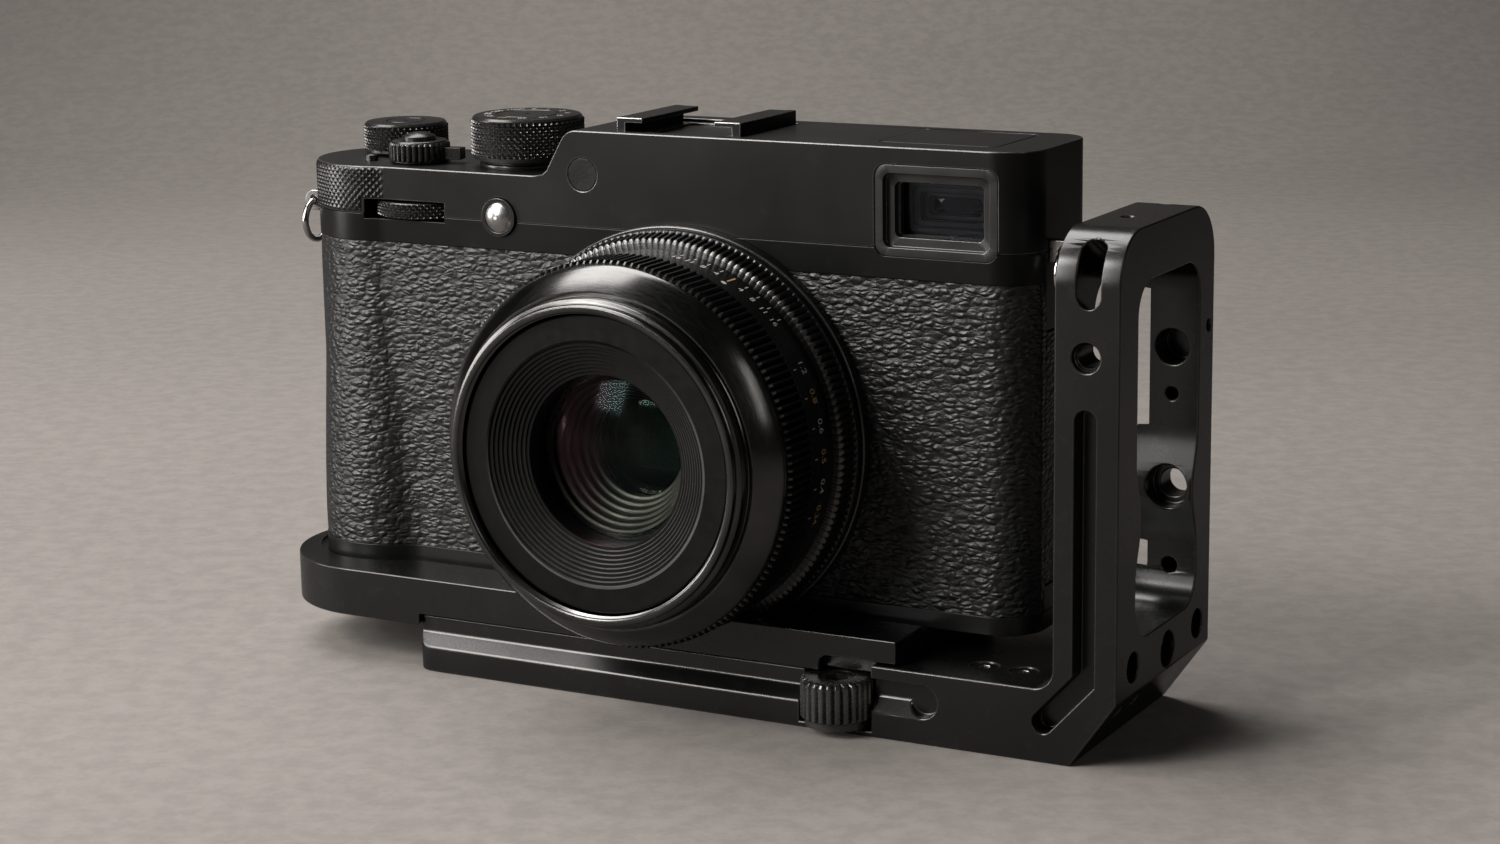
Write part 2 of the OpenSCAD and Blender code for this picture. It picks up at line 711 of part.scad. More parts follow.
module port_block() {
  x = body_right - 6;
  color([0.5, 0.5, 0.5]) difference() {
    block([x, port_y + 0.8, port_z[0] + 3], [body_right - 1.9, port_y + port_w, port_z[1] - 3]);
    span_x(x + 0.5, body_right) {
      rounded([port_y + 5, lens_z - 13], [port_y + 8.2, lens_z - 4], 1.4);
      rounded([port_y + 4, lens_z + 2], [port_y + 8.5, lens_z + 13], 0.6);
    }
  }
}

module cover_screws() {
  color("silver") for (x = [-38, 46], y = [body_y + 5, body_back - 5]) {
    rod_z(1.75, body_z + 0.1, body_z + 0.7, x, y);
    rod_z(0.97, body_z + 0.7, body_z + 2.7, x, y);
  }
}

// ---- inside the camera

module lens_mount() {
  color("silver") difference() {
    union() {
      rod_y(mount_r, -mount_a, body_y, 0, lens_z);
      rod_y(neck_r, body_y - eps, body_y + leather_t + wall, 0, lens_z);
    }
    block([-neck_r, body_y, 0], [neck_r, body_back, leather_z0 + 0.05]);
    rod_y(22, -mount_a - 1, body_back, 0, lens_z);
    mount_screw_spots() {
      rod_y(0.9, -mount_a - 1, body_back, 0, 0);
      rod_y(1.7, -mount_a - 1, -mount_a + 1, 0, 0);
    }
  }
}

module mount_screw_spots() {
  for (a = [45:90:315]) translate([26 * cos(a), 0, lens_z + 26 * sin(a)]) children();
}

module mount_screws() {
  color("silver") mount_screw_spots() {
    rod_y(1.65, -mount_a + 0.1, -mount_a + 1, 0, 0);
    rod_y(0.85, -mount_a + 1, body_y + leather_t + wall + 1.2, 0, 0);
  }
}

module image_sensor() {
  z = lens_z;
  y = sensor_y;
  color([0.2, 0.35, 0.3]) {
    block([-22.5, y, z - 19], [22.5, y + 1.2, z + 19]);
    block([-14, y - 1.7, z - 11], [14, y, z + 11]);
  }
}

module shutter_unit() {
  color([0.15, 0.15, 0.15]) difference() {
    block([-21.2, sensor_y - 6.5, lens_z - 18.2], [21.2, sensor_y - 2.5, lens_z + 18.2]);
    for (y = [-7.5, -3.9]) block([-13, sensor_y + y, lens_z - 9], [13, sensor_y + y + 2.2, lens_z + 9]);
  }
}

module main_board() {
  y = board_y;
  color([0.05, 0.3, 0.15]) {
    block([door_hi.x - 1, y, leather_z0 + 4], [body_right - 6, y + 1.2, leather_z1 - 3]);
    for (x = [-20, 20], z = [lens_z - 17, lens_z + 17]) rod_y(1.5, sensor_y + 1.2, y, x, z);
    for (x = [-26, 0, 24]) block([x - 6, y + 1.2, lens_z - 7], [x + 6, y + 2.4, lens_z + 7]);
    difference() {
      rod_y(2.4, y + 1.2, stick.y, stick.x, stick.z);
      rod_x(1.3, stick.x - 1.1, stick.x + 1.1, stick.y, stick.z);
      rod_x(0.5 + run, stick.x - 3, stick.x + 3, stick.y, stick.z);
    }
  }
}

// ---- finder, screen and shoe

module finder_bezel() {
  step = [1.3, 2.7];
  frame = [3, 2.9];
  color([0.08, 0.08, 0.08]) difference() {
    span_y(body_y + 0.2, body_y + 4) rounded(finder_lo + [0.03, 0.03], finder_hi - [0.03, 0.03], 1.77);
    for (i = [0, 1]) span_y(body_y - 1, body_y + 1.4 * (i + 1))
      rounded(finder_lo + [step[i], step[i]], finder_hi - [step[i], step[i]], 1.2 - 0.3 * i);
    span_y(body_y, body_y + 5) rounded(finder_lo + frame, finder_hi - frame, 0.6);
  }
}

module finder_window() {
  color([0.5, 0.6, 0.7]) span_y(body_y + 4, body_y + 5)
    rounded(finder_lo + [2.4, 2.3], finder_hi - [2.4, 2.3], 0.8);
}

module finder_prism() {
  color([0.6, 0.7, 0.8]) span_z(finder_lo.y + 1.8, finder_hi.y - 2)
    polygon([
      [37, body_y + 5], [48, body_y + 5], [51, body_y + 8], [51, body_back - 2.8],
      [38.5, body_back - 2.8], [37, body_y + 17]
    ]);
}

module eyepiece() {
  color([0.12, 0.12, 0.12]) difference() {
    union() {
      block([35.05, body_back - 2.8, finder_lo.y - 1.55], [52.95, body_back + eps, finder_hi.y - 3.45]);
      span_y(body_back, body_back + 3.2) rounded(eye - [10.2, 7], eye + [10.2, 7], 3);
      span_y(body_back + 3.2, body_back + 4.5) rounded(eye - [9.4, 6.2], eye + [9.4, 6.2], 2.6);
    }
    rod_y(5, body_y, body_back + 6, eye.x, eye.y);
    translate([eye.x, body_back + 1, eye.y]) rotate([-90, 0, 0]) cylinder(r1 = 4.8, r2 = 6, h = 3.6);
  }
}

module eyepiece_lens() {
  color([0.6, 0.7, 0.8]) rod_y(5 - run, body_back - 2.4, body_back, eye.x, eye.y);
}

module rear_screen() {
  inside = body_back - leather_t - wall;
  lo = [-30, leather_z0 + 4];
  hi = [32, leather_z1 - 2];
  color([0.03, 0.03, 0.04]) {
    span_y(inside - 1.8, inside) rounded(lo - [1.5, 1.5], hi + [1.5, 1.5], 2);
    span_y(inside - eps, body_back - 0.3) rounded(lo + [0.1, 0.1], hi - [0.1, 0.1], 1.9);
  }
}

module finder_top_plate() {
  color([0.12, 0.12, 0.12]) span_z(body_top - 1.1, body_top)
    rounded(plate_lo + [thin, thin], plate_hi - [thin, thin], 1.35);
}

module hot_shoe() {
  inner = 9.3;
  half_gap = 6.3;
  edge = 10.8;
  floor_z = body_top - shoe_sink;
  lip_z = floor_z + 2;
  lip_t = 0.75;
  color("silver") translate([shoe_mid, 0, 0]) {
    block([-edge - 1.6, shoe_lo + 0.7, body_top - wall - 1], [edge + 1.6, body_back - wall - 0.2, body_top - wall]);
    block([-edge, shoe_lo + run, body_top - wall - eps], [edge, shoe_hi - run, floor_z]);
    for (s = [0, 1]) mirror([s, 0, 0]) {
      block([inner, shoe_lo + run, floor_z - eps], [edge, shoe_hi - run, lip_z + lip_t]);
      block([half_gap, shoe_lo + run, lip_z], [edge, shoe_hi - 0.6, lip_z + lip_t]);
    }
  }
}

module shoe_spring() {
  z = body_top - shoe_sink;
  color("silver") translate([shoe_mid, 0, 0]) {
    for (x = [-9.2, 6.7]) block([x, shoe_lo + 1.2, z], [x + 2.5, shoe_hi - 1, z + 0.25]);
    block([-9.2, shoe_hi - 2.4, z], [9.2, shoe_hi - 1, z + 0.25]);
  }
}

module af_lamp() {
  x = -17.4;
  z = low_top + 0.6;
  color([0.8, 0.75, 0.6]) {
    rod_y(2.6 - run, body_y + 0.1, body_y + wall + eps, x, z);
    rod_y(3.4, body_y + wall, body_y + wall + 1, x, z);
  }
}

// ---- buttons and dials

// A domed button that points up, with its face at the origin and a flange that keeps it in.
module push_button(r, dome, shank, flange_r, flange_t) {
  dome_r = (r * r + dome * dome) / (2 * dome);
  translate([0, 0, -shank]) cylinder(r = r, h = shank);
  intersection() {
    translate([0, 0, dome - dome_r]) sphere(dome_r);
    translate([0, 0, -eps]) cylinder(r = r, h = dome + 1);
  }
  translate([0, 0, -shank]) cylinder(r = flange_r, h = flange_t);
}

module button_ring() {
  back = body_y + leather_t + wall;
  color([0.15, 0.15, 0.15]) difference() {
    union() {
      rod_y(3.1 - run, body_y - 0.5, back, front_button_x, front_button_z);
      rod_y(3.8, back, back + 0.6, front_button_x, front_button_z);
    }
    rod_y(2.4 + run, body_y - 2, back + 1, front_button_x, front_button_z);
  }
}

module front_button() {
  color("silver") translate([front_button_x, body_y - 0.4, front_button_z]) rotate([90, 0, 0])
    push_button(2.4, 0.8, 3.8, 2.9, 0.5);
}

module lens_release() {
  color([0.15, 0.15, 0.15]) translate([-29.5, body_y - 1.6, lens_z - 20.6]) rotate([90, 0, 0])
    push_button(2.7, 0.5, 5.9, 3.3, 0.4);
}

module rear_button(z) {
  color([0.15, 0.15, 0.15]) translate([-38.5, body_back + 0.5, z]) rotate([-90, 0, 0])
    push_button(2.7, 0.3, 3.3, 3.2, 0.5);
}

module playback_button() {
  rear_button(lens_z + 20);
}

module menu_button() {
  rear_button(lens_z - 11);
}

module focus_stick() {
  color([0.12, 0.12, 0.12]) {
    rod_x(1.2, stick.x - 1, stick.x + 1, stick.y, stick.z);
    rod_x(0.5, stick.x - 2, stick.x + 2, stick.y, stick.z);
    rod_y(0.9, stick.y, body_back + 1.1, stick.x, stick.z);
    rod_y(2.6, body_back + 1, body_back + 2, stick.x, stick.z);
  }
}

module command_disc(x, y, z) {
  bevel = 0.3;
  color([0.12, 0.12, 0.12]) difference() {
    translate([x, y, z]) rotate_extrude() polygon([
      [1.4 + run, -command_t / 2], [command_r - bevel, -command_t / 2],
      [command_r, -command_t / 2 + bevel], [command_r, command_t / 2 - bevel],
      [command_r - bevel, command_t / 2], [1.4 + run, command_t / 2]]);
    rod_z(1, z, z + 2, x + command_r / 2, y);
  }
}

module front_dial() {
  command_disc(command_x, command_y, command_z);
}

module rear_dial() {
  command_disc(rear_command_x, rear_command_y, rear_command_z);
}

module dial_base() {
  color([0.15, 0.15, 0.15]) {
    rod_z(7.8, low_top, low_top + 0.7, dial_x, dial_y);
    rod_z(2.5, low_top, low_top + shutter_h - 1.2, dial_x, dial_y);
  }
}

module shutter_dial() {
  color([0.1, 0.1, 0.1]) translate([dial_x, dial_y, low_top]) rotate_extrude() polygon([
    [2.5 + run, 0.85], [shutter_r - 1.2, 0.85], [shutter_r - 1.2, 1.3], [shutter_r - 0.2, 1.3],
    [shutter_r, 1.5], [shutter_r, shutter_h - 1], [shutter_r - 0.7, shutter_h], [0, shutter_h],
    [0, shutter_h - 1], [2.5 + run, shutter_h - 1]]);
}

module exposure_dial() {
  color([0.1, 0.1, 0.1]) translate([exposure_x, exposure_y, low_top]) rotate_extrude() polygon([
    [2.1 + run, gap], [exposure_r - 0.2, gap], [exposure_r, gap + 0.2],
    [exposure_r, exposure_h - 0.6], [exposure_r - 0.6, exposure_h], [0, exposure_h],
    [0, exposure_h - 1], [2.1 + run, exposure_h - 1]]);
}

module power_collar() {
  color([0.12, 0.12, 0.12]) translate([collar_x, collar_y, low_top]) difference() {
    union() {
      translate([0, 0, -2]) cylinder(r = 3.3, h = 2.3);
      translate([0, 0, 0.2]) cylinder(r = collar_r, h = 3);
      translate([0, 0, 3.2]) cylinder(r1 = collar_r, r2 = collar_r - 0.4, h = 0.4);
      rotate(10) translate([0, -1.1, 0.6]) cube([7.6, 2.2, 1.9]);
    }
    translate([0, 0, -3]) cylinder(r = 2.7 + run, h = 8);
  }
}

module shutter_release() {
  color("silver") translate([collar_x, collar_y, low_top + 4.2])
    push_button(2.7, 0.7, 7, 3.1, 0.5);
}

module pin_button() {
  color("silver") translate([pin_x, pin_y, low_top + 0.9])
    push_button(1.05, 0.2, 3.3, 1.6, 0.5);
}

// ---- strap rings

module lug(at, to) {
  r = 1.7;
  difference() {
    union() {
      rod_y(r, at.y - 0.9, at.y + 0.9, at.x, lug_z);
      block([min(at.x, to), at.y - 0.9, lug_z - r], [max(at.x, to), at.y + 0.9, lug_z + r]);
    }
    rod_y(0.8, at.y - 1, at.y + 1, at.x, lug_z);
    span_z(lug_z - 3, lug_z + 3) plan();
  }
}

module strap_lugs() {
  color("silver") {
    lug(lug_left, body_left + 2);
    lug(lug_right, body_right - 2);
  }
}

module strap_ring(at) {
  color("silver") translate([at.x, at.y, lug_z - ring_r]) rotate([0, 90, 0])
    rotate_extrude() translate([ring_r, 0]) circle(0.55);
}

module strap_ring_left() {
  strap_ring(lug_left);
}

module strap_ring_right() {
  strap_ring(lug_right);
}

// ---- lens

module lens_barrel() {
  inner = 12 + run;
  throat = inner_r + run;
  core_r = inner + 1.5;
  shell_r = tube_r - 1.8;
  steps = 6;
  funnel_a = inner_a + 0.3;
  rise = (bezel_a - 0.4 - funnel_a) / steps;
  flare = (inner - throat) / steps;
  funnel = [for (i = [steps:-1:1]) each [
    [throat + flare * i, funnel_a + rise * i], [throat + flare * i, funnel_a + rise * (i - 1)]]];
  color([0.1, 0.1, 0.1]) {
    turned(concat([
      [inner, mount_a], [sleeve_r, mount_a], [sleeve_r, scale_a], [scale_r, scale_a],
      [scale_r, focus_a - thin], [tube_r, focus_a - thin], [tube_r, bezel_a], [shell_r, bezel_a],
      [shell_r, mount_a + 2], [core_r, mount_a + 2], [core_r, bezel_a - 0.4]], funnel,
      [[throat, funnel_a], [throat, iris_a + 1.5], [inner, iris_a + 1.5]]));
    turned([[18, mount_a - 3], [21.9, mount_a - 3], [21.9, mount_a + eps], [18, mount_a + eps]]);
  }
}

module aperture_ring() {
  r = mount_r - 0.5;
  front = aperture_a + aperture_w;
  color([0.12, 0.12, 0.12]) turned([
    [sleeve_r + run, aperture_a], [r, aperture_a], [r, aperture_a + 0.5], [r - 0.7, front - 0.5],
    [r - 1.1, front], [sleeve_r + run, front]]);
}

module focus_ring() {
  front = focus_a + focus_w;
  bevel = 0.35;
  color([0.12, 0.12, 0.12]) turned([
    [tube_r + run, focus_a], [focus_r - bevel, focus_a], [focus_r, focus_a + bevel],
    [focus_r, front - bevel], [focus_r - bevel, front], [tube_r + run, front]]);
}

module filter_ring() {
  web = rim_a - 2.45;
  color([0.15, 0.15, 0.15]) turned([
    [tube_r - 1.8, bezel_a], [focus_r - 0.6, bezel_a], [focus_r - 3.6, rim_a - 3.4],
    [focus_r - 4.7, rim_a - 3.4], [focus_r - 4.7, rim_a - 1.2], [focus_r - 5.4, rim_a - 1],
    [focus_r - 5.4, rim_a - 0.15], [focus_r - 5.6, rim_a], [filter_r + 0.15, rim_a], [filter_r, rim_a - 0.15],
    [filter_r, rim_a - 1.15], [filter_r - 0.3, rim_a - 1.15], [filter_r - 0.3, web], [20.5, web],
    [20.5, web - 1.5], [tube_r - 1.8, web - 1.5]]);
}

module front_cone() {
  steps = 9;
  seat_a = rim_a - 2.45;
  wide = 18.3;
  narrow = glass_r + 0.4;
  deep_a = glass_a + 0.8;
  rise = (cone_a - deep_a) / steps;
  run_in = (wide - narrow) / steps;
  funnel = [for (i = [0:steps - 1]) each [
    [narrow + run_in * i, deep_a + rise * i], [narrow + run_in * (i + 1), deep_a + rise * i]]];
  color([0.05, 0.05, 0.05]) turned(concat(
    [[glass_r + 0.02, bezel_a - 0.4], [glass_r + 0.02, deep_a]], funnel,
    [[wide, cone_a], [filter_r - 0.5, cone_a], [filter_r - 0.5, seat_a], [20.3, seat_a],
     [20.3, seat_a - 2], [glass_r + 1.7, bezel_a + 1.5], [glass_r + 1.7, bezel_a - 0.4]]));
}

module front_glass() {
  color([0.5, 0.7, 0.6]) turned(lens_section(glass_r, glass_a, bezel_a, 60, 90));
}

module inner_lenses() {
  color([0.6, 0.7, 0.7]) {
    turned(lens_section(inner_r, inner_a, inner_a - 2.9, 30, 40));
    turned(lens_section(12, mount_a + 5.6, mount_a + 0.4, 45, 45));
  }
}

module iris_blades() {
  pitch = 0.2;
  open_r = 7.4;
  reach = 14;
  color([0.1, 0.1, 0.1]) for (i = [0:6])
    span_y(-iris_a - 0.18 - pitch * i, -iris_a - pitch * i) translate([0, lens_z])
      rotate(i * 360 / 7) intersection() {
        difference() {
          circle(12);
          circle(open_r);
        }
        polygon([[0, 0], [reach, 0], [reach * cos(40), reach * sin(40)], [reach * cos(80), reach * sin(80)]]);
      }
}

l_plate();
deck_screws();
lock_wheel();
lock_shoe();
camera_tray();
tray_pad();
tripod_screw();
guide_screws();
chassis();
front_cover();
rear_cover();
top_cover();
bottom_cover();
leather_wrap();
thumb_rest();
lens_mount();
mount_screws();
image_sensor();
shutter_unit();
main_board();
battery();
battery_door();
finder_bezel();
finder_window();
finder_prism();
eyepiece();
eyepiece_lens();
rear_screen();
finder_top_plate();
hot_shoe();
shoe_spring();
af_lamp();
front_button();
front_dial();
rear_dial();
dial_base();
shutter_dial();
exposure_dial();
power_collar();
button_ring();
shutter_release();
pin_button();
playback_button();
menu_button();
focus_stick();
strap_lugs();
strap_ring_left();
strap_ring_right();
port_door();
port_block();
cover_screws();
lens_release();
lens_barrel();
aperture_ring();
focus_ring();
filter_ring();
front_cone();
front_glass();
inner_lenses();
iris_blades();
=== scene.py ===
import bmesh
import bpy
import math
from mathutils import Matrix, Vector


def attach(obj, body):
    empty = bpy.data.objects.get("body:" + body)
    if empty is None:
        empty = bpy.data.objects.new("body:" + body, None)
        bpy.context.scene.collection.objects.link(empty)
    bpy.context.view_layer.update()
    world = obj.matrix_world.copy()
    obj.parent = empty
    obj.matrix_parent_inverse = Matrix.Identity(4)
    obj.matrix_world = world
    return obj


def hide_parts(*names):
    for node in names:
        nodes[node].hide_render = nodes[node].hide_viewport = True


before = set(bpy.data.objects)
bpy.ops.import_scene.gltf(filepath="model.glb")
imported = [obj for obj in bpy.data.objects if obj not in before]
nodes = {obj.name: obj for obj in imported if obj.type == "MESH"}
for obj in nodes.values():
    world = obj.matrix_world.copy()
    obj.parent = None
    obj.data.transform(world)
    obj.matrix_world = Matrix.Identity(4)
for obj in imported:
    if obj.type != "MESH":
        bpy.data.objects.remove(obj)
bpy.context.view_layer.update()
mm = 0.001
print("frame loaded:", len(nodes), "nodes")

# camera, floor and lamps

shot = {
    "place": (0.2301, -0.4121, 0.1434),
    "right": (0.8814, 0.4721, -0.0147),
    "up": (-0.0879, 0.1944, 0.9770),
    "lens": 74.1,
}
studio = {
    # two of these colours are painted light: one darkens the sides of the wall as painted shade, the other
    # brightens the near floor as a painted pool of light
    "floorColour": (0.292, 0.266, 0.247), "wallColour": (0.27, 0.246, 0.227),
    "paintedShadeColour": (0.066, 0.061, 0.056), "paintedLightColour": (0.40, 0.363, 0.337),
    "fleckColour": (0.05, 0.045, 0.042), "paintedLightShare": 0.75, "leftShadeShare": 0.4, "mottle": 0.3, "bounce": 0.42,
    "cloudSize": 0.25, "patchSize": 0.0045, "fibreSize": 0.0012, "fibreDepth": 0.00015,
    "wallStart": 0.55, "wallBend": 0.5, "bendParts": 24, "wallHeight": 1.6, "halfWidth": 3.0, "front": -1.6,
    "turn": 28, "worldColour": (1.0, 0.97, 0.94), "worldStrength": 0.02,
}
lamps = {  # name: place, target, width, height, watts, colour
    "keyLamp": ((-0.60, -0.60, 0.66), (-0.03, 0, 0.04), 0.5, 0.5, 7.6, (1.0, 0.97, 0.94)),
    "overLamp": ((-0.42, 0.16, 0.86), (0, 0, 0.05), 0.8, 0.5, 7.6, (1.0, 0.98, 0.96)),
    "sideLamp": ((-0.40, -0.70, 0.32), (0.0, 0, 0.05), 0.22, 0.3, 1.9, (1.0, 0.98, 0.96)),
    "leftLamp": ((-0.76, -0.36, 0.14), (-0.06, 0, 0.04), 0.26, 0.3, 2.3, (1.0, 0.98, 0.96)),
    "cornerLamp": ((-0.34, -0.57, 0.62), (0.06, 0, 0.08), 0.14, 0.24, 1.2, (1.0, 0.98, 0.96)),
    "rightLamp": ((0.85, -0.35, 0.5), (0.05, 0, 0.05), 0.16, 0.5, 0.4, (1.0, 0.96, 0.92)),
}


def aim(thing, place, target):
    thing.location = place
    thing.rotation_euler = (Vector(target) - Vector(place)).to_track_quat("-Z", "Y").to_euler()


def addStudio():
    camera = bpy.data.objects.new("camera", bpy.data.cameras.new("camera"))
    bpy.context.scene.collection.objects.link(camera)
    right, up = Vector(shot["right"]).normalized(), Vector(shot["up"]).normalized()
    back = right.cross(up).normalized()
    up = back.cross(right)
    turn = Matrix((right, up, back)).transposed().to_4x4()
    camera.matrix_world = Matrix.Translation(shot["place"]) @ turn
    camera.data.lens, camera.data.sensor_width = shot["lens"], 36
    camera.data.clip_start, camera.data.clip_end = 0.01, 20
    bpy.context.scene.camera = camera
    for name, (place, target, width, height, watts, colour) in lamps.items():
        light = bpy.data.lights.new(name, "AREA")
        light.shape, light.size, light.size_y = "RECTANGLE", width, height
        light.energy, light.color = watts, colour
        lamp = bpy.data.objects.new(name, light)
        bpy.context.scene.collection.objects.link(lamp)
        aim(lamp, place, target)
    world = bpy.data.worlds.new("studio")
    bpy.context.scene.world = world
    world.use_nodes = True
    sky = world.node_tree.nodes["Background"]
    sky.inputs["Color"].default_value = (*studio["worldColour"], 1)
    sky.inputs["Strength"].default_value = studio["worldStrength"]
    bpy.context.scene.view_settings.view_transform = "Standard"


addStudio()
print("camera and lamps placed")

# shader tools


class Wire:  # one output socket, so shader maths can be written as plain expressions
    def __init__(self, skin, socket):
        self.skin, self.socket = skin, socket

    def maths(self, operation, first, second=None):
        values = [v for v in (first, second) if v is not None]
        return self.skin.add("ShaderNodeMath", {"operation": operation}, dict(enumerate(values)))

    def __add__(self, other):
        return self.maths("ADD", self, other)

    def __radd__(self, other):
        return self.maths("ADD", other, self)

    def __sub__(self, other):
        return self.maths("SUBTRACT", self, other)

    def __rsub__(self, other):
        return self.maths("SUBTRACT", other, self)

    def __mul__(self, other):
        return self.maths("MULTIPLY", self, other)

    def __rmul__(self, other):
        return self.maths("MULTIPLY", other, self)

    def spread(self, low, high, toLow=0.0, toHigh=1.0):  # clamped, from low..high to toLow..toHigh
        values = {"Value": self, "From Min": low, "From Max": high, "To Min": toLow, "To Max": toHigh}
        return self.skin.add("ShaderNodeMapRange", {"clamp": True}, values)


class Skin:  # one material
    def __init__(self, name):
        self.material = bpy.data.materials.new(name)
        self.material.use_nodes = True
        self.tree = self.material.node_tree
        self.tree.nodes.clear()
        self.place = self.add("ShaderNodeTexCoord", output="Object")

    def add(self, kind, settings=None, values=None, output=0):
        node = self.tree.nodes.new(kind)
        for key, value in (settings or {}).items():
            setattr(node, key, value)
        for key, value in (values or {}).items():
            if isinstance(value, Wire):
                self.tree.links.new(value.socket, node.inputs[key])
            elif isinstance(value, tuple) and len(value) == 3 and node.inputs[key].type == "RGBA":
                node.inputs[key].default_value = (*value, 1)
            else:
                node.inputs[key].default_value = value
        return Wire(self, node.outputs[output])

    def noise(self, size, detail=3.0, rough=0.5, place=None, stretch=(1, 1, 1)):  # size in metres
        scale = tuple(s / size for s in stretch)
        spot = self.add("ShaderNodeVectorMath", {"operation": "MULTIPLY"}, {0: place or self.place, 1: scale})
        values = {"Vector": spot, "Scale": 1.0, "Detail": detail, "Roughness": rough}
        return self.add("ShaderNodeTexNoise", None, values)

    def blend(self, mask, first, second):  # colours
        return self.add("ShaderNodeMix", {"data_type": "RGBA"}, {0: mask, 6: first, 7: second}, output=2)

    def bump(self, height, depth, strength=1.0, normal=None):
        values = {"Height": height, "Distance": depth, "Strength": strength}
        if normal is not None:
            values["Normal"] = normal
        return self.add("ShaderNodeBump", None, values)

    def send(self, shader):
        output = self.tree.nodes.new("ShaderNodeOutputMaterial")
        self.tree.links.new(shader.socket, output.inputs["Surface"])
        return self.material

    def finish(self, values):
        return self.send(self.add("ShaderNodeBsdfPrincipled", None, values))


coating = {"cloud": 0.018, "rub": 0.0022, "rubFrom": 0.56, "rubTo": 0.74, "smoother": 0.04, "rougher": 0.05,
           "rubRough": 0.06, "bump": 0.6}


def coatedMetal(name, look):  # paint or anodising: fine grain, slow cloudiness, a little dust and rub
    skin = Skin(name)
    cloud = skin.noise(coating["cloud"], 3)
    grain = skin.noise(look["grain"], 2)
    rub = skin.noise(coating["rub"], 5, 0.65).spread(coating["rubFrom"], coating["rubTo"])
    base = skin.blend(cloud.spread(0.3, 0.7), look["dark"], look["light"])
    colour = skin.blend(rub * look["wear"], base, look["worn"])
    rough = cloud.spread(0.3, 0.7, look["rough"] - coating["smoother"], look["rough"] + coating["rougher"])
    return skin.finish({
        "Base Color": colour, "Roughness": rough + rub * coating["rubRough"], "Metallic": look["metal"],
        "Specular IOR Level": look["shine"], "Normal": skin.bump(grain, look["depth"], coating["bump"]),
    })


turning = {"mark": 0.00012, "along": 0.06, "cloud": 0.008, "rougher": 0.05, "depth": 0.000008, "bump": 0.5,
           "shadow": (0.002, 0.002, 0.002), "lean": 0.6}


def turnedMetal(name, look):  # fine lathe marks round the y axis, unless the look names another
    skin = Skin(name)
    stretch = [turning["along"]] * 3
    stretch["xyz".index(look.get("axis", "y"))] = 1
    marks = skin.noise(turning["mark"], 2, 0.6, stretch=stretch)
    cloud = skin.noise(turning["cloud"], 3)
    colour = skin.blend(cloud.spread(0.35, 0.65), look["dark"], look["light"])
    if "fade" in look:  # the upper and left parts of a deep tube lie in shadow
        across, tall = (skin.add("ShaderNodeSeparateXYZ", None, {0: skin.place}, output=i) for i in (0, 2))
        shade = (tall - turning["lean"] * across).spread(*look["fade"])
        colour = skin.blend(shade, colour, turning["shadow"])
    rough = marks.spread(0.3, 0.7, look["rough"] - turning["rougher"], look["rough"] + turning["rougher"])
    return skin.finish({
        "Base Color": colour, "Roughness": rough, "Metallic": look["metal"],
        "Specular IOR Level": look["shine"], "Normal": skin.bump(marks, turning["depth"], turning["bump"]),
    })


moulding = {"cloud": 0.006, "smoother": 0.05, "rougher": 0.06, "bump": 0.5}


def moulded(name, look):  # plastic or rubber with a fine moulded grain
    skin = Skin(name)
    cells = {"Vector": skin.place, "Scale": 1 / look["grain"]}
    grain = skin.add("ShaderNodeTexVoronoi", {"feature": "F1"}, cells)
    cloud = skin.noise(moulding["cloud"], 4)
    colour = skin.blend(cloud.spread(0.35, 0.65), look["dark"], look["light"])
    rough = cloud.spread(0.3, 0.7, look["rough"] - moulding["smoother"], look["rough"] + moulding["rougher"])
    return skin.finish({
        "Base Color": colour, "Roughness": rough, "Specular IOR Level": look["shine"],
        "Normal": skin.bump(grain, look["depth"], moulding["bump"]),
    })


pebbling = {
    "wanderScale": 420.0, "wander": 0.0011, "flatten": (0.72, 0.72, 1.5), "smooth": 0.6, "wide": 0.0042,
    "wrinkle": 0.0011, "edgeShare": 0.22, "domeShare": 0.6, "wrinkleShare": 0.45, "wideShare": 0.9,
    "peakFrom": 0.9, "peakTo": 1.45, "sway": 0.009, "swayRough": 0.08, "valleyRough": 0.1, "peakRough": 0.03,
    "grain": 0.00014, "grainDepth": 0.00002,
}


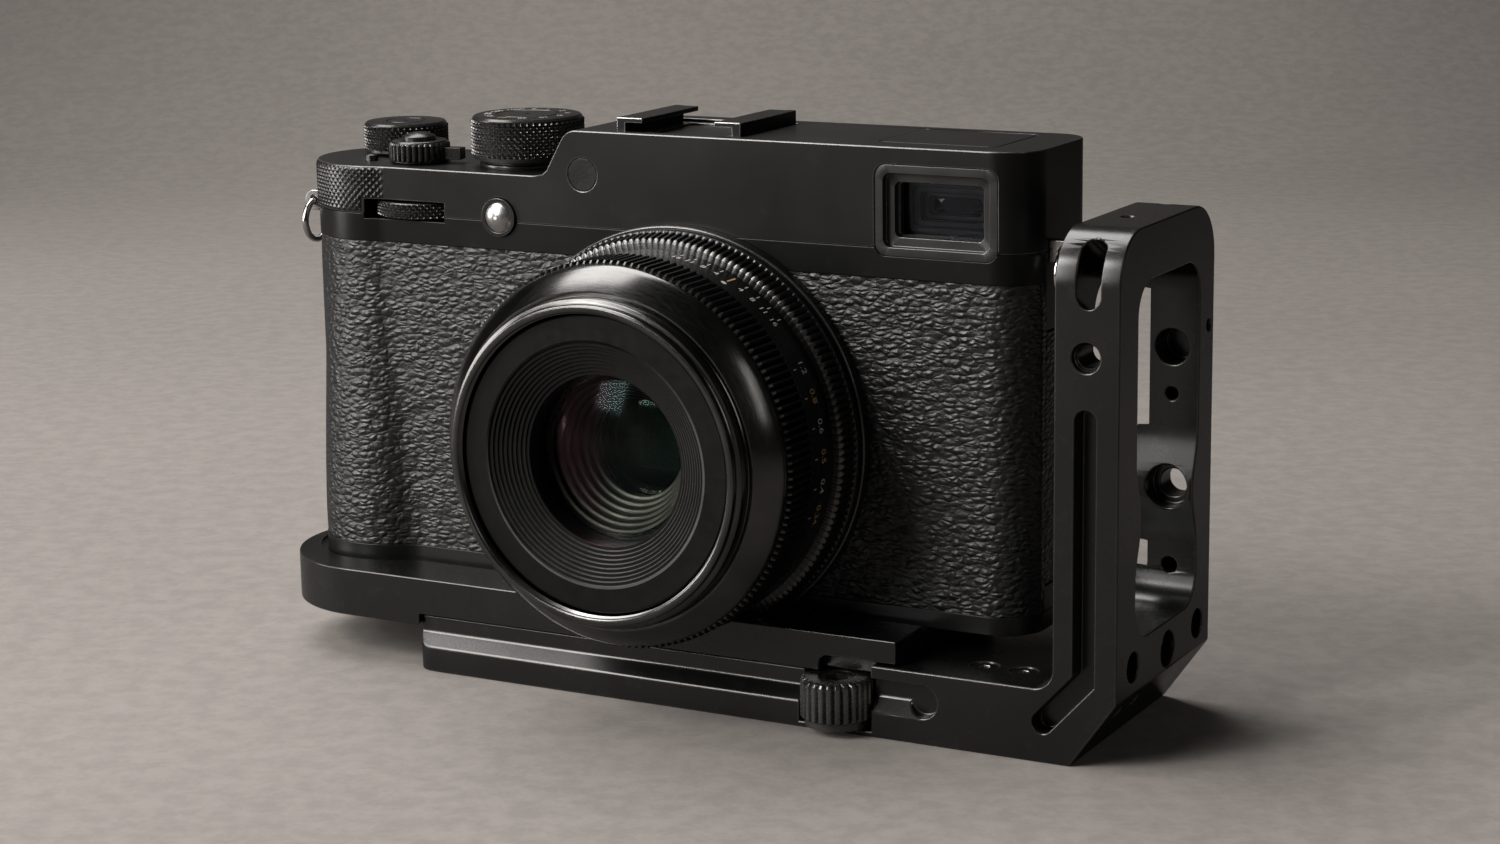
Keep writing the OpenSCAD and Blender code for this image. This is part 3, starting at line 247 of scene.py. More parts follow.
def pebbledLeather(name, look):
    skin, d = Skin(name), pebbling
    drift = {"Vector": skin.place, "Scale": d["wanderScale"], "Detail": 2.0}
    wander = skin.add("ShaderNodeTexNoise", None, drift, output=1)
    lean = skin.add("ShaderNodeVectorMath", {"operation": "SCALE"}, {0: wander, "Scale": d["wander"]})
    spot = skin.add("ShaderNodeVectorMath", {"operation": "ADD"}, {0: skin.place, 1: lean})
    flat = skin.add("ShaderNodeVectorMath", {"operation": "MULTIPLY"}, {0: spot, 1: d["flatten"]})
    cells = {"Vector": flat, "Scale": 1 / look["pebble"], "Randomness": 1.0}
    edge = skin.add("ShaderNodeTexVoronoi", {"feature": "DISTANCE_TO_EDGE"}, cells)
    dome = skin.add("ShaderNodeTexVoronoi", {"feature": "SMOOTH_F1"}, {**cells, "Smoothness": d["smooth"]})
    wide = skin.noise(d["wide"], 3, 0.5, place=flat)
    wrinkle = skin.noise(d["wrinkle"], 3, 0.55, place=flat)
    height = edge.spread(0.0, 0.35) * d["edgeShare"] + (1 - dome) * d["domeShare"]
    height = height + wrinkle * d["wrinkleShare"] + wide * d["wideShare"]
    peak = height.spread(d["peakFrom"], d["peakTo"])
    # the colour follows the height: darker valleys and lighter pebble tops are painted shade in the creases
    colour = skin.blend(peak, look["dark"], look["light"])
    rough = peak.spread(0, 1, look["rough"] + d["valleyRough"], look["rough"] - d["peakRough"])
    grain = skin.bump(skin.noise(d["grain"], 2), d["grainDepth"], 0.3)
    return skin.finish({
        "Base Color": colour, "Roughness": rough + skin.noise(d["sway"], 2) * d["swayRough"],
        "Specular IOR Level": look["shine"], "Normal": skin.bump(height, look["depth"], 1.0, grain),
    })


glazing = {"smear": 0.011, "sway": 0.004, "glowFrom": -0.0045, "glowTo": 0.001, "rougher": 0.02,
           "darkSmear": 0.006, "darkRougher": 0.05, "filmBend": 1.38, "coatRough": 0.01}


def clearGlass(name, look):  # lets the lamps in, and mirrors more towards its edges
    skin = Skin(name)
    smear = skin.noise(glazing["smear"], 1)
    across = skin.add("ShaderNodeSeparateXYZ", None, {0: skin.place}, output=0)
    share = (across + (smear - 0.5) * glazing["sway"]).spread(glazing["glowFrom"], glazing["glowTo"])
    mirror = skin.add("ShaderNodeBsdfPrincipled", None, {
        "Base Color": skin.blend(share, look["glow"], look["glowToo"]), "Metallic": 1.0,
        "Roughness": smear.spread(0.3, 0.7, look["rough"], look["rough"] + glazing["rougher"])})
    through = skin.add("ShaderNodeBsdfTransparent", None, {"Color": look["tint"]})
    edge = skin.add("ShaderNodeFresnel", None, {"IOR": look["bend"]})
    mixed = skin.add("ShaderNodeMixShader", None, {0: edge * look["shine"], 1: through, 2: mirror})
    return skin.send(mixed)


def darkGlass(name, look):
    skin = Skin(name)
    smear = skin.noise(glazing["darkSmear"], 3)
    return skin.finish({
        "Base Color": skin.blend(smear.spread(0.3, 0.7), look["dark"], look["light"]),
        "Roughness": smear.spread(0.4, 0.7, look["rough"], look["rough"] + glazing["darkRougher"]),
        "Thin Film Thickness": look["film"], "Thin Film IOR": glazing["filmBend"],
        "Coat Weight": look["coat"], "Coat Roughness": glazing["coatRough"],
    })


recipes = {  # name: kind of material and its values
    "bracketBlack": (coatedMetal, {
        "dark": (0.0035, 0.0034, 0.0033), "light": (0.006, 0.0058, 0.0056), "worn": (0.02, 0.019, 0.018),
        "wear": 0.1, "grain": 0.00012, "depth": 0.000005, "rough": 0.25, "metal": 0.0, "shine": 0.66}),
    # lighter bevel finish: partly rubbed wear, partly painted highlight
    "bracketEdge": (coatedMetal, {
        "dark": (0.05, 0.048, 0.046), "light": (0.08, 0.077, 0.074), "worn": (0.14, 0.135, 0.13), "wear": 0.3,
        "grain": 0.0001, "depth": 0.000004, "rough": 0.24, "metal": 0.7, "shine": 0.6}),
    "bodyPaint": (coatedMetal, {
        "dark": (0.0038, 0.0037, 0.0036), "light": (0.006, 0.0058, 0.0056), "worn": (0.02, 0.019, 0.018),
        "wear": 0.05, "grain": 0.00016, "depth": 0.000006, "rough": 0.36, "metal": 0.0, "shine": 0.36}),
    "bandPaint": (coatedMetal, {
        "dark": (0.0022, 0.0022, 0.0021), "light": (0.0036, 0.0035, 0.0034), "worn": (0.012, 0.0118, 0.0115),
        "wear": 0.05, "grain": 0.00016, "depth": 0.000005, "rough": 0.32, "metal": 0.0, "shine": 0.3}),
    # lighter bevel finish: partly rubbed wear, partly painted highlight
    "bodyEdge": (coatedMetal, {
        "dark": (0.10, 0.098, 0.095), "light": (0.14, 0.137, 0.133), "worn": (0.14, 0.137, 0.133), "wear": 0.2,
        "grain": 0.0001, "depth": 0.000004, "rough": 0.26, "metal": 0.7, "shine": 0.7}),
    "leather": (pebbledLeather, {
        "dark": (0.0035, 0.0034, 0.0033), "light": (0.013, 0.0127, 0.0123), "pebble": 0.00118, "depth": 0.0004,
        "rough": 0.34, "shine": 0.66}),
    "lensBlack": (turnedMetal, {
        "dark": (0.0028, 0.0028, 0.0027), "light": (0.0045, 0.0044, 0.0043), "rough": 0.27, "metal": 0.0,
        "shine": 0.6}),
    "lensGloss": (turnedMetal, {
        "dark": (0.10, 0.099, 0.097), "light": (0.13, 0.129, 0.126), "rough": 0.2, "metal": 1.0, "shine": 0.5}),
    # lighter edge finish: partly rubbed wear, partly painted highlight
    "lensEdge": (turnedMetal, {
        "dark": (0.07, 0.068, 0.066), "light": (0.11, 0.108, 0.105), "rough": 0.24, "metal": 0.8,
        "shine": 0.6}),
    "dialBlack": (turnedMetal, {
        "dark": (0.006, 0.006, 0.0058), "light": (0.009, 0.0089, 0.0087), "rough": 0.26, "metal": 0.0,
        "shine": 0.7, "axis": "z"}),
    # lighter metal than the dial around it, so the knurl glints: painted highlight
    "knurlBlack": (turnedMetal, {
        "dark": (0.11, 0.108, 0.106), "light": (0.16, 0.157, 0.153), "rough": 0.3, "metal": 0.95,
        "shine": 0.7, "axis": "z"}),
    # lighter metal than the cover paint around it, so the pressed diamonds glint: painted highlight
    "bandKnurl": (turnedMetal, {
        "dark": (0.045, 0.044, 0.043), "light": (0.065, 0.064, 0.062), "rough": 0.32, "metal": 0.9,
        "shine": 0.6, "axis": "z"}),
    # lighter metal than the black bracket, so the ridges read bright: painted highlight
    "wheelBlack": (turnedMetal, {
        "dark": (0.14, 0.138, 0.135), "light": (0.2, 0.197, 0.192), "rough": 0.26, "metal": 0.9, "shine": 0.6,
        "axis": "z"}),
    # lighter edge finish: partly rubbed wear, partly painted highlight
    "dialEdge": (turnedMetal, {
        "dark": (0.07, 0.068, 0.066), "light": (0.11, 0.108, 0.105), "rough": 0.24, "metal": 0.8,
        "shine": 0.6, "axis": "z"}),
    "steel": (turnedMetal, {
        "dark": (0.42, 0.41, 0.4), "light": (0.56, 0.55, 0.54), "rough": 0.28, "metal": 1.0, "shine": 0.5}),
    "brightSteel": (turnedMetal, {
        "dark": (0.55, 0.54, 0.52), "light": (0.7, 0.69, 0.67), "rough": 0.17, "metal": 1.0, "shine": 0.5}),
    "blackSteel": (turnedMetal, {
        "dark": (0.045, 0.044, 0.043), "light": (0.07, 0.069, 0.067), "rough": 0.3, "metal": 0.9,
        "shine": 0.5, "axis": "z"}),
    "brass": (turnedMetal, {
        "dark": (0.5, 0.36, 0.14), "light": (0.66, 0.5, 0.22), "rough": 0.3, "metal": 1.0, "shine": 0.5,
        "axis": "x"}),
    "castFrame": (coatedMetal, {
        "dark": (0.2, 0.2, 0.2), "light": (0.3, 0.3, 0.3), "worn": (0.5, 0.5, 0.5), "wear": 0.2,
        "grain": 0.0004, "depth": 0.00004, "rough": 0.5, "metal": 0.9, "shine": 0.5}),
    "plastic": (moulded, {
        "dark": (0.012, 0.012, 0.012), "light": (0.018, 0.0178, 0.0175), "grain": 0.00025, "depth": 0.00001,
        "rough": 0.42, "shine": 0.5}),
    "rubber": (moulded, {
        "dark": (0.012, 0.0118, 0.0115), "light": (0.019, 0.0187, 0.018), "grain": 0.0005, "depth": 0.00004,
        "rough": 0.62, "shine": 0.4}),
    "battery": (moulded, {
        "dark": (0.06, 0.06, 0.07), "light": (0.09, 0.09, 0.1), "grain": 0.0004, "depth": 0.00002,
        "rough": 0.5, "shine": 0.4}),
    "circuit": (moulded, {
        "dark": (0.01, 0.07, 0.03), "light": (0.02, 0.11, 0.05), "grain": 0.0012, "depth": 0.00008,
        "rough": 0.4, "shine": 0.5}),
    "mattBlack": (turnedMetal, {
        "dark": (0.0015, 0.0015, 0.0015), "light": (0.003, 0.003, 0.0029), "rough": 0.42, "metal": 0.0,
        "shine": 0.5}),
    "coneBlack": (turnedMetal, {
        "dark": (0.0014, 0.0014, 0.0013), "light": (0.0024, 0.0024, 0.0023), "rough": 0.36, "metal": 0.0,
        "shine": 0.3}),
    # lighter lips on the dark cone: painted highlight, faded into painted shade towards the top
    "coneLip": (turnedMetal, {
        "dark": (0.18, 0.179, 0.173), "light": (0.26, 0.259, 0.25), "rough": 0.3, "metal": 0.8, "shine": 0.6,
        "fade": (0.024, 0.056)}),
    # the tube wall and its lips fade into painted shade at the top and left
    "tubeOlive": (turnedMetal, {
        "dark": (0.018, 0.0185, 0.0165), "light": (0.03, 0.031, 0.0275), "rough": 0.34, "metal": 0.6,
        "shine": 0.6, "fade": (0.028, 0.046)}),
    # lighter lips: painted highlight
    "tubeLip": (turnedMetal, {
        "dark": (0.12, 0.123, 0.112), "light": (0.21, 0.214, 0.192), "rough": 0.34, "metal": 0.7, "shine": 0.6,
        "fade": (0.03, 0.046)}),
    # lighter lips on the finder ledges: painted highlight
    "finderLip": (turnedMetal, {
        "dark": (0.2, 0.2, 0.195), "light": (0.28, 0.28, 0.272), "rough": 0.35, "metal": 0.6, "shine": 0.6}),
    "finderGrey": (moulded, {
        "dark": (0.018, 0.018, 0.0177), "light": (0.028, 0.0277, 0.0273), "grain": 0.0004, "depth": 0.00001,
        "rough": 0.34, "shine": 0.55}),
    "lampLens": (moulded, {
        "dark": (0.004, 0.0038, 0.0036), "light": (0.007, 0.0068, 0.0065), "grain": 0.0006, "depth": 0.00003,
        "rough": 0.35, "shine": 0.5}),
    "frontGlass": (clearGlass, {
        "tint": (0.95, 0.955, 0.93), "glow": (0.34, 0.19, 0.23), "glowToo": (0.17, 0.25, 0.25), "rough": 0.08,
        "bend": 1.5, "shine": 0.6}),
    "innerGlass": (clearGlass, {
        "tint": (0.68, 0.7, 0.66), "glow": (0.6, 0.47, 0.36), "glowToo": (0.27, 0.46, 0.45), "rough": 0.06,
        "bend": 1.6, "shine": 0.4}),
    "clearGlass": (clearGlass, {
        "tint": (0.62, 0.64, 0.67), "glow": (0.4, 0.43, 0.48), "glowToo": (0.45, 0.45, 0.48), "rough": 0.0,
        "bend": 1.5, "shine": 1.0}),
    "screenGlass": (darkGlass, {
        "dark": (0.004, 0.004, 0.005), "light": (0.007, 0.007, 0.009), "rough": 0.04, "film": 0.0,
        "coat": 0.5}),
    "sensorGlass": (darkGlass, {
        "dark": (0.004, 0.008, 0.008), "light": (0.007, 0.013, 0.012), "rough": 0.05, "film": 380.0,
        "coat": 0.5}),
    "finderPane": (darkGlass, {
        "dark": (0.006, 0.008, 0.012), "light": (0.016, 0.02, 0.027), "rough": 0.06, "film": 0.0, "coat": 0.6}),
    "scaleWhite": (moulded, {
        "dark": (0.55, 0.54, 0.52), "light": (0.7, 0.69, 0.67), "grain": 0.0004, "depth": 0.00001,
        "rough": 0.5, "shine": 0.4}),
    "scaleOrange": (moulded, {
        "dark": (0.52, 0.3, 0.13), "light": (0.62, 0.38, 0.18), "grain": 0.0004, "depth": 0.00001,
        "rough": 0.5, "shine": 0.4}),
}
finishes = {name: make(name, look) for name, (make, look) in recipes.items()}
print("materials made:", len(finishes))


def addFloor(d):
    skin = Skin("paperFloor")
    cloud, fibre = skin.noise(d["cloudSize"], 3), skin.noise(d["fibreSize"], 3)
    patch = skin.noise(d["patchSize"], 5, 0.65)
    across, deep = (skin.add("ShaderNodeSeparateXYZ", None, {0: skin.place}, output=i) for i in (0, 1))
    base = skin.blend(deep.spread(0.1, 0.75), d["floorColour"], d["wallColour"])
    # painted shade darkens the sides of the wall, more on the left, and a painted pool of light brightens the
    # near floor
    sideShade = across.maths("ABSOLUTE", across).spread(0.1, 0.86) + (0 - across).spread(0.0, 0.5) * d["leftShadeShare"]
    base = skin.blend((sideShade * deep.spread(0.2, 0.8)).spread(0, 1), base, d["paintedShadeColour"])
    near = across.spread(-0.25, 0.2) * (1 - deep.spread(-0.1, 0.3))
    base = skin.blend(near * d["paintedLightShare"], base, d["paintedLightColour"])
    dim = (cloud.spread(0.3, 0.7) + patch.spread(0.4, 0.6)) * (0.5 * d["mottle"])
    colour = skin.blend(dim, base, d["fleckColour"])
    seen = skin.add("ShaderNodeLightPath", None, None, output=0)
    unseen = (1 - seen) * (1 - d["bounce"])
    colour = skin.blend(unseen, colour, (0.0, 0.0, 0.0))  # black pieces mirror a darker room
    paper = skin.finish({"Base Color": colour, "Roughness": fibre.spread(0.3, 0.7, 0.75, 0.9),
                         "Normal": skin.bump(fibre, d["fibreDepth"], 0.3)})
    start, bend, parts, wide = d["wallStart"], d["wallBend"], d["bendParts"], d["halfWidth"]
    line = [(d["front"], 0.0), (start, 0.0)]
    for i in range(1, parts + 1):
        a = math.pi / 2 * i / parts
        line.append((start + bend * math.sin(a), bend * (1 - math.cos(a))))
    line.append((start + bend, d["wallHeight"]))
    corners = [(x, y, z) for y, z in line for x in (-wide, wide)]
    faces = [(2 * i, 2 * i + 1, 2 * i + 3, 2 * i + 2) for i in range(len(line) - 1)]
    mesh = bpy.data.meshes.new("floor")
    mesh.from_pydata(corners, [], faces)
    mesh.shade_smooth()
    mesh.materials.append(paper)
    floor = bpy.data.objects.new("floor", mesh)
    bpy.context.scene.collection.objects.link(floor)
    floor.rotation_euler = (0, 0, math.radians(d["turn"]))


addFloor(studio)

# CAD nodes that keep their shape: finish, soft edges, and lighter bevels that are partly rubbed wear, partly
# painted highlight

dressed = {  # node: finish, edge finish, edge width in mm
    "l_plate": ("bracketBlack", "bracketEdge", 0.28), "deck_screws": ("blackSteel", "steel", 0.08),
    "camera_tray": ("bracketBlack", "bracketEdge", 0.22), "lock_shoe": ("brass", None, 0.1),
    "tray_pad": ("rubber", None, 0.1), "tripod_screw": ("steel", None, 0.1),
    "guide_screws": ("steel", None, 0.1), "chassis": ("castFrame", None, 0.1),
    "front_cover": ("bandPaint", None, 0.12),
    "rear_cover": ("bodyPaint", None, 0.15), "top_cover": ("bodyPaint", "bodyEdge", 0.2),
    "bottom_cover": ("bodyPaint", None, 0.12), "thumb_rest": ("rubber", None, 0.5),
    "lens_mount": ("lensBlack", "lensEdge", 0.3), "mount_screws": ("steel", None, 0.05),
    "image_sensor": ("sensorGlass", None, 0.05), "shutter_unit": ("plastic", None, 0.05),
    "main_board": ("circuit", None, 0.05), "battery": ("battery", None, 0.3),
    "battery_door": ("plastic", None, 0.15), "finder_bezel": ("plastic", "bodyEdge", 0.1),
    "finder_window": ("clearGlass", None, 0.05),
    "eyepiece": ("rubber", None, 0.35), "eyepiece_lens": ("clearGlass", None, 0.05),
    "rear_screen": ("screenGlass", None, 0.1),
    "finder_top_plate": ("bodyPaint", None, 0.06), "hot_shoe": ("bodyPaint", "steel", 0.12),
    "shoe_spring": ("steel", None, 0.04), "af_lamp": ("lampLens", None, 0.1),
    "front_button": ("steel", None, 0.08), "button_ring": ("bodyPaint", "bodyEdge", 0.08),
    "dial_base": ("dialBlack", "dialEdge", 0.1), "shutter_release": ("blackSteel", None, 0.05),
    "pin_button": ("blackSteel", None, 0.05), "playback_button": ("plastic", None, 0.08),
    "menu_button": ("plastic", None, 0.08), "focus_stick": ("rubber", None, 0.15),
    "strap_lugs": ("steel", None, 0.15), "port_door": ("leather", None, 0.2),
    "port_block": ("plastic", None, 0.1), "cover_screws": ("blackSteel", None, 0.05),
    "lens_release": ("bodyPaint", "bodyEdge", 0.1),
    "strap_ring_left": ("brightSteel", None, 0), "strap_ring_right": ("brightSteel", None, 0),
    "inner_lenses": ("innerGlass", None, 0.05), "iris_blades": ("mattBlack", None, 0),
    "lens_barrel": ("lensBlack", None, 0.1), "power_collar": ("dialBlack", "dialEdge", 0.12),
}

keptWhole = ("finder_bezel", "eyepiece")  # merging their flat faces would close their openings
dressing = {"weld": 0.000002, "flat": 0.6, "sharp": 32, "segments": 2, "weight": 95}


def dress(name, finish, edge, width):
    node = nodes[name]
    mesh = node.data
    mesh.materials.clear()
    mesh.materials.append(finishes[finish])
    mesh.materials.append(finishes[edge or finish])
    mesh.shade_smooth()
    weld = node.modifiers.new("weld", "WELD")
    weld.merge_threshold = dressing["weld"]
    if width:
        if name not in keptWhole:
            flat = node.modifiers.new("flat", "DECIMATE")
            flat.decimate_type, flat.angle_limit = "DISSOLVE", math.radians(dressing["flat"])
        bevel = node.modifiers.new("bevel", "BEVEL")
        bevel.width, bevel.segments = width * mm, dressing["segments"]
        bevel.limit_method, bevel.angle_limit = "ANGLE", math.radians(dressing["sharp"])
        bevel.use_clamp_overlap, bevel.harden_normals = False, False
        # bevel faces take the lighter edge finish: partly rubbed wear, partly painted highlight
        bevel.material = 1
        level = node.modifiers.new("level", "WEIGHTED_NORMAL")
        level.mode, level.weight = "FACE_AREA", dressing["weight"]
    else:
        mesh.set_sharp_from_angle(angle=math.radians(dressing["sharp"]))


for name, (finish, edge, width) in dressed.items():
    dress(name, finish, edge, width)
print("CAD nodes dressed:", len(dressed))

# tools for turned and knurled pieces

front = "-y"


def addPiece(name, points, faces, looks, body, picks=None, sharp=28):
    mesh = bpy.data.meshes.new(name)
    mesh.from_pydata([tuple(v * mm for v in p) for p in points], [], faces)
    for look in looks:
        mesh.materials.append(finishes[look])
    if picks:
        mesh.polygons.foreach_set("material_index", picks)
    work = bmesh.new()
    work.from_mesh(mesh)
    bmesh.ops.recalc_face_normals(work, faces=work.faces)
    work.to_mesh(mesh)
    work.free()
    mesh.shade_smooth()
    mesh.set_sharp_from_angle(angle=math.radians(sharp))
    piece = bpy.data.objects.new(name, mesh)
    bpy.context.scene.collection.objects.link(piece)
    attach(piece, body)
    return piece


def placed(axis, centre):  # turns radius, angle and height into a point
    x, y = centre
    if axis == front:  # centre is x and z, height is the distance in front of the origin
        return lambda r, t, h: (x + r * math.cos(t), -h, y + r * math.sin(t))
    return lambda r, t, h: (x + r * math.cos(t), y + r * math.sin(t), h)


def lathe(name, rows, parts, axis, centre, looks, body):
    put = placed(axis, centre)
    points, faces, picks = [], [], []
    for radius, height, _ in rows:
        for i in range(parts):
            t = 2 * math.pi * i / parts
            points.append(put(radius(t, height) if callable(radius) else radius, t, height))
    for j in range(len(rows)):
        k = (j + 1) % len(rows)
        for i in range(parts):
            n = (i + 1) % parts
            faces.append((j * parts + i, j * parts + n, k * parts + n, k * parts + i))
            picks.append(rows[j][2])
    return addPiece(name, points, faces, looks, body, picks)


def tent(value):  # 0 at whole numbers, 1 halfway
    return 1 - abs(2 * (value % 1) - 1)


def ridges(radius, depth, teeth, flat=0.42):  # straight ridges with flat tops
    def shape(t, h):
        spot = t * teeth / (2 * math.pi)
        return radius - depth * (1 - min(1, tent(spot) / (1 - flat)))
    return shape


def diamonds(radius, depth, teeth):  # crossed spiral cuts that leave small pyramids
    pitch = 2 * math.pi * radius / teeth
    def shape(t, h):
        spot, level = t * teeth / (2 * math.pi), h / pitch
        return radius - depth * (1 - min(1, 1.35 * min(tent(spot + level), tent(spot - level))))
    return shape


def band(shape, low, high, steps, pick):
    return [(shape, low + (high - low) * i / steps, pick) for i in range(steps + 1)]


def offsets(radius, level, rows):  # rows hold the distance out, the distance up and the look
    return [(radius + out, level + up, look) for out, up, look in rows]


lensAxis = (0, 41)

apertureRing = {"teeth": 172, "outer": 31.4, "front": 30.75, "depth": 0.42, "from": 9.15, "to": 13.85,
                "inner": 27.1, "heel": ((-0.5, 0, 0), (-0.15, 0.2, 0), (-0.05, 1.2, 0)), "toothFrom": 1.35,
                "toothEnd": 0.25}


def addApertureRing(d):
    back, toothed = d["from"], d["to"] - d["toothEnd"]
    def sides(t, h):
        outer = d["outer"] + (d["front"] - d["outer"]) * (h - back) / (toothed - back)
        return ridges(outer, d["depth"], d["teeth"])(t, h)
    rows = [(d["inner"], back, 0)] + offsets(d["outer"], back, d["heel"])
    rows += [(sides, back + d["toothFrom"], 0), (sides, toothed - 0.3, 1),
             (lambda t, h: sides(t, h) - 0.1, toothed, 1)]
    rows += [(d["front"] - 0.75, d["to"], 0), (d["inner"], d["to"], 0)]
    piece = lathe("apertureRing", rows, d["teeth"] * 6, front, lensAxis, ["lensBlack", "lensEdge"],
                  "aperture_ring_body")
    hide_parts("aperture_ring")


focusRing = {"teeth": 158, "outer": 29.5, "depth": 0.85, "from": 20.75, "to": 28.2, "inner": 26.15}


def addFocusRing(d):
    grip = ridges(d["outer"], d["depth"], d["teeth"], 0.3)
    low, high = d["from"], d["to"]
    rows = [(d["inner"], low, 0), (d["outer"] - 1.1, low, 0), (lambda t, h: grip(t, h) - 0.35, low + 0.05, 1),
            (grip, low + 0.4, 0), (grip, high - 0.45, 1), (lambda t, h: grip(t, h) - 0.4, high - 0.05, 1),
            (d["outer"] - 1.2, high, 0), (d["inner"], high, 0)]
    piece = lathe("focusRing", rows, d["teeth"] * 8, front, lensAxis, ["lensBlack", "lensEdge"],
                  "focus_ring_body")
    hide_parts("focus_ring")


filterRing = {
    "back": 28.35, "wide": 28.9, "narrow": 25.9, "coneEnd": 32.35, "lip": 24.85, "rim": 35.75, "seat": 33.35,
    "parts": 288, "coneSteps": 6, "coneSwell": 0.22,
    "heel": ((-2.9, 0, 0), (-0.35, 0, 0), (0, 0.3, 0), (-0.12, 0.75, 0)),
    "shoulder": ((-0.25, 0.22, 1), (-0.5, 0.25, 0)), "lipFoot": ((0.12, 0.1, 0), (0, 0.25, 0)),
    "rimShape": ((0, -1.5, 0), (-0.1, -1.3, 1), (-0.45, -1.15, 0), (-0.6, -1.1, 0), (-0.73, -0.95, 0),
                 (-0.73, -0.35, 0), (-0.85, -0.1, 1), (-1.05, 0, 0), (-1.6, 0, 0), (-1.8, -0.1, 1),
                 (-1.93, -0.3, 0)),
    "threads": 5, "bore": 22.92, "threadDeep": 0.14, "threadPitch": 0.17, "threadTop": 0.35,
    "seatIn": 22.62, "seatOut": 24.3, "inside": 24.6, "insideAt": 3.5,
}


def addFilterRing(d):
    back, steps = d["back"], d["coneSteps"]
    rows = offsets(d["wide"], back, d["heel"])
    wide, level, _ = rows[-1]
    for i in range(1, steps + 1):
        radius = wide + (d["narrow"] - wide) * i / steps + d["coneSwell"] * math.sin(math.pi * i / steps)
        rows.append((radius, level + (d["coneEnd"] - level) * i / steps, 0))
    rows += offsets(d["narrow"], d["coneEnd"], d["shoulder"]) + offsets(d["lip"], d["coneEnd"], d["lipFoot"])
    rows += offsets(d["lip"], d["rim"], d["rimShape"])
    for i in range(d["threads"]):
        top = d["rim"] - d["threadTop"] - i * d["threadPitch"]
        rows += [(d["bore"], top, 0), (d["bore"] - d["threadDeep"], top - d["threadPitch"] / 2, 0)]
    rows += [(d["seatIn"], d["seat"] + 0.05, 0), (d["seatIn"], d["seat"], 0), (d["seatOut"], d["seat"], 0),
             (d["inside"], back + d["insideAt"], 0)]
    piece = lathe("filterRing", rows, d["parts"], front, lensAxis, ["lensGloss", "lensEdge"],
                  "carriage")
    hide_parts("filter_ring")


frontCone = {"hole": 12.95, "deep": 31.35, "rise": 3.1, "wide": 18.3, "steps": 9, "level": 34.45, "rim": 22.4,
             "seat": 33.35, "back": 27.2, "middle": 20.2, "inside": 15.0, "parts": 240}


def addFrontCone(d):
    rows = [(d["hole"], d["back"], 0), (d["hole"], d["deep"] - 0.3, 0), (d["hole"] + 0.08, d["deep"] - 0.1, 1)]
    run, rise = (d["wide"] - d["hole"]) / d["steps"], d["rise"] / d["steps"]
    # each lip takes the lighter finish: painted highlight
    for i in range(d["steps"]):  # dark treads with a bright lip each
        r, a = d["hole"] + run * i, d["deep"] + rise * i
        rows += [(r + 0.1, a, 0), (r + run - 0.04, a + 0.02, 1), (r + run, a + rise - 0.1, 1),
                 (r + run + 0.05, a + rise, 1)]
    rows += [(d["wide"] + 0.4, d["level"], 0), (d["middle"], d["level"] - 0.03, 0),
             (d["rim"] - 0.25, d["level"], 0), (d["rim"], d["level"] - 0.15, 0), (d["rim"], d["seat"], 0),
             (d["middle"], d["seat"], 0), (d["inside"], d["back"] + 2, 0)]
    piece = lathe("frontCone", rows, d["parts"], front, lensAxis, ["coneBlack", "coneLip"],
                  "carriage")
    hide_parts("front_cone")


frontGlass = {"radius": 12.45, "back": 27.45, "edge": 28.2, "dome": 30.5, "pole": 0.02, "parts": 128,
              "rings": 26}


def addFrontGlass(d):
    rows = [(d["pole"], d["back"], 0), (d["radius"] - 0.15, d["back"], 0), (d["radius"], d["back"] + 0.15, 0)]
    for i in range(d["rings"] + 1):
        share = math.cos(math.pi / 2 * i / d["rings"])
        r = max(d["pole"], d["radius"] * share)
        rows.append((r, d["edge"] + (d["dome"] - d["edge"]) * (1 - share * share), 0))
    piece = lathe("frontGlass", rows, d["parts"], front, lensAxis, ["frontGlass"], "carriage")
    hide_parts("front_glass")


tubeRings = {"wide": 12.0, "narrow": 7.4, "front": 27.2, "back": 20.15, "steps": 6, "parts": 192, "wall": 0.08,
             "lip": ((-0.12, 0, 1), (-0.5, -0.1, 1), (-0.62, -0.3, 0), (-0.4, -0.45, 0))}


def addTubeRings(d):  # the stepped tube behind the front glass
    run, drop = (d["wide"] - d["narrow"]) / d["steps"], (d["front"] - d["back"]) / d["steps"]
    near, far = [], []
    for i in range(d["steps"]):
        r, a = d["wide"] - run * i, d["front"] - drop * i
        near += offsets(r, a, d["lip"]) + [(r - 0.26, a - drop + 0.05, 0)]
        far += [(r - d["wall"], a, 0), (r - d["wall"], a - drop + 0.06, 0)]
    # the lips take the lighter finish: painted highlight
    lathe("tubeRings", near + far[::-1], d["parts"], front, lensAxis, ["tubeOlive", "tubeLip"],
          "carriage")


addApertureRing(apertureRing)
addFocusRing(focusRing)
addFilterRing(filterRing)
addFrontCone(frontCone)
addFrontGlass(frontGlass)
addTubeRings(tubeRings)
print("lens rings turned")

# plain numbers and index marks


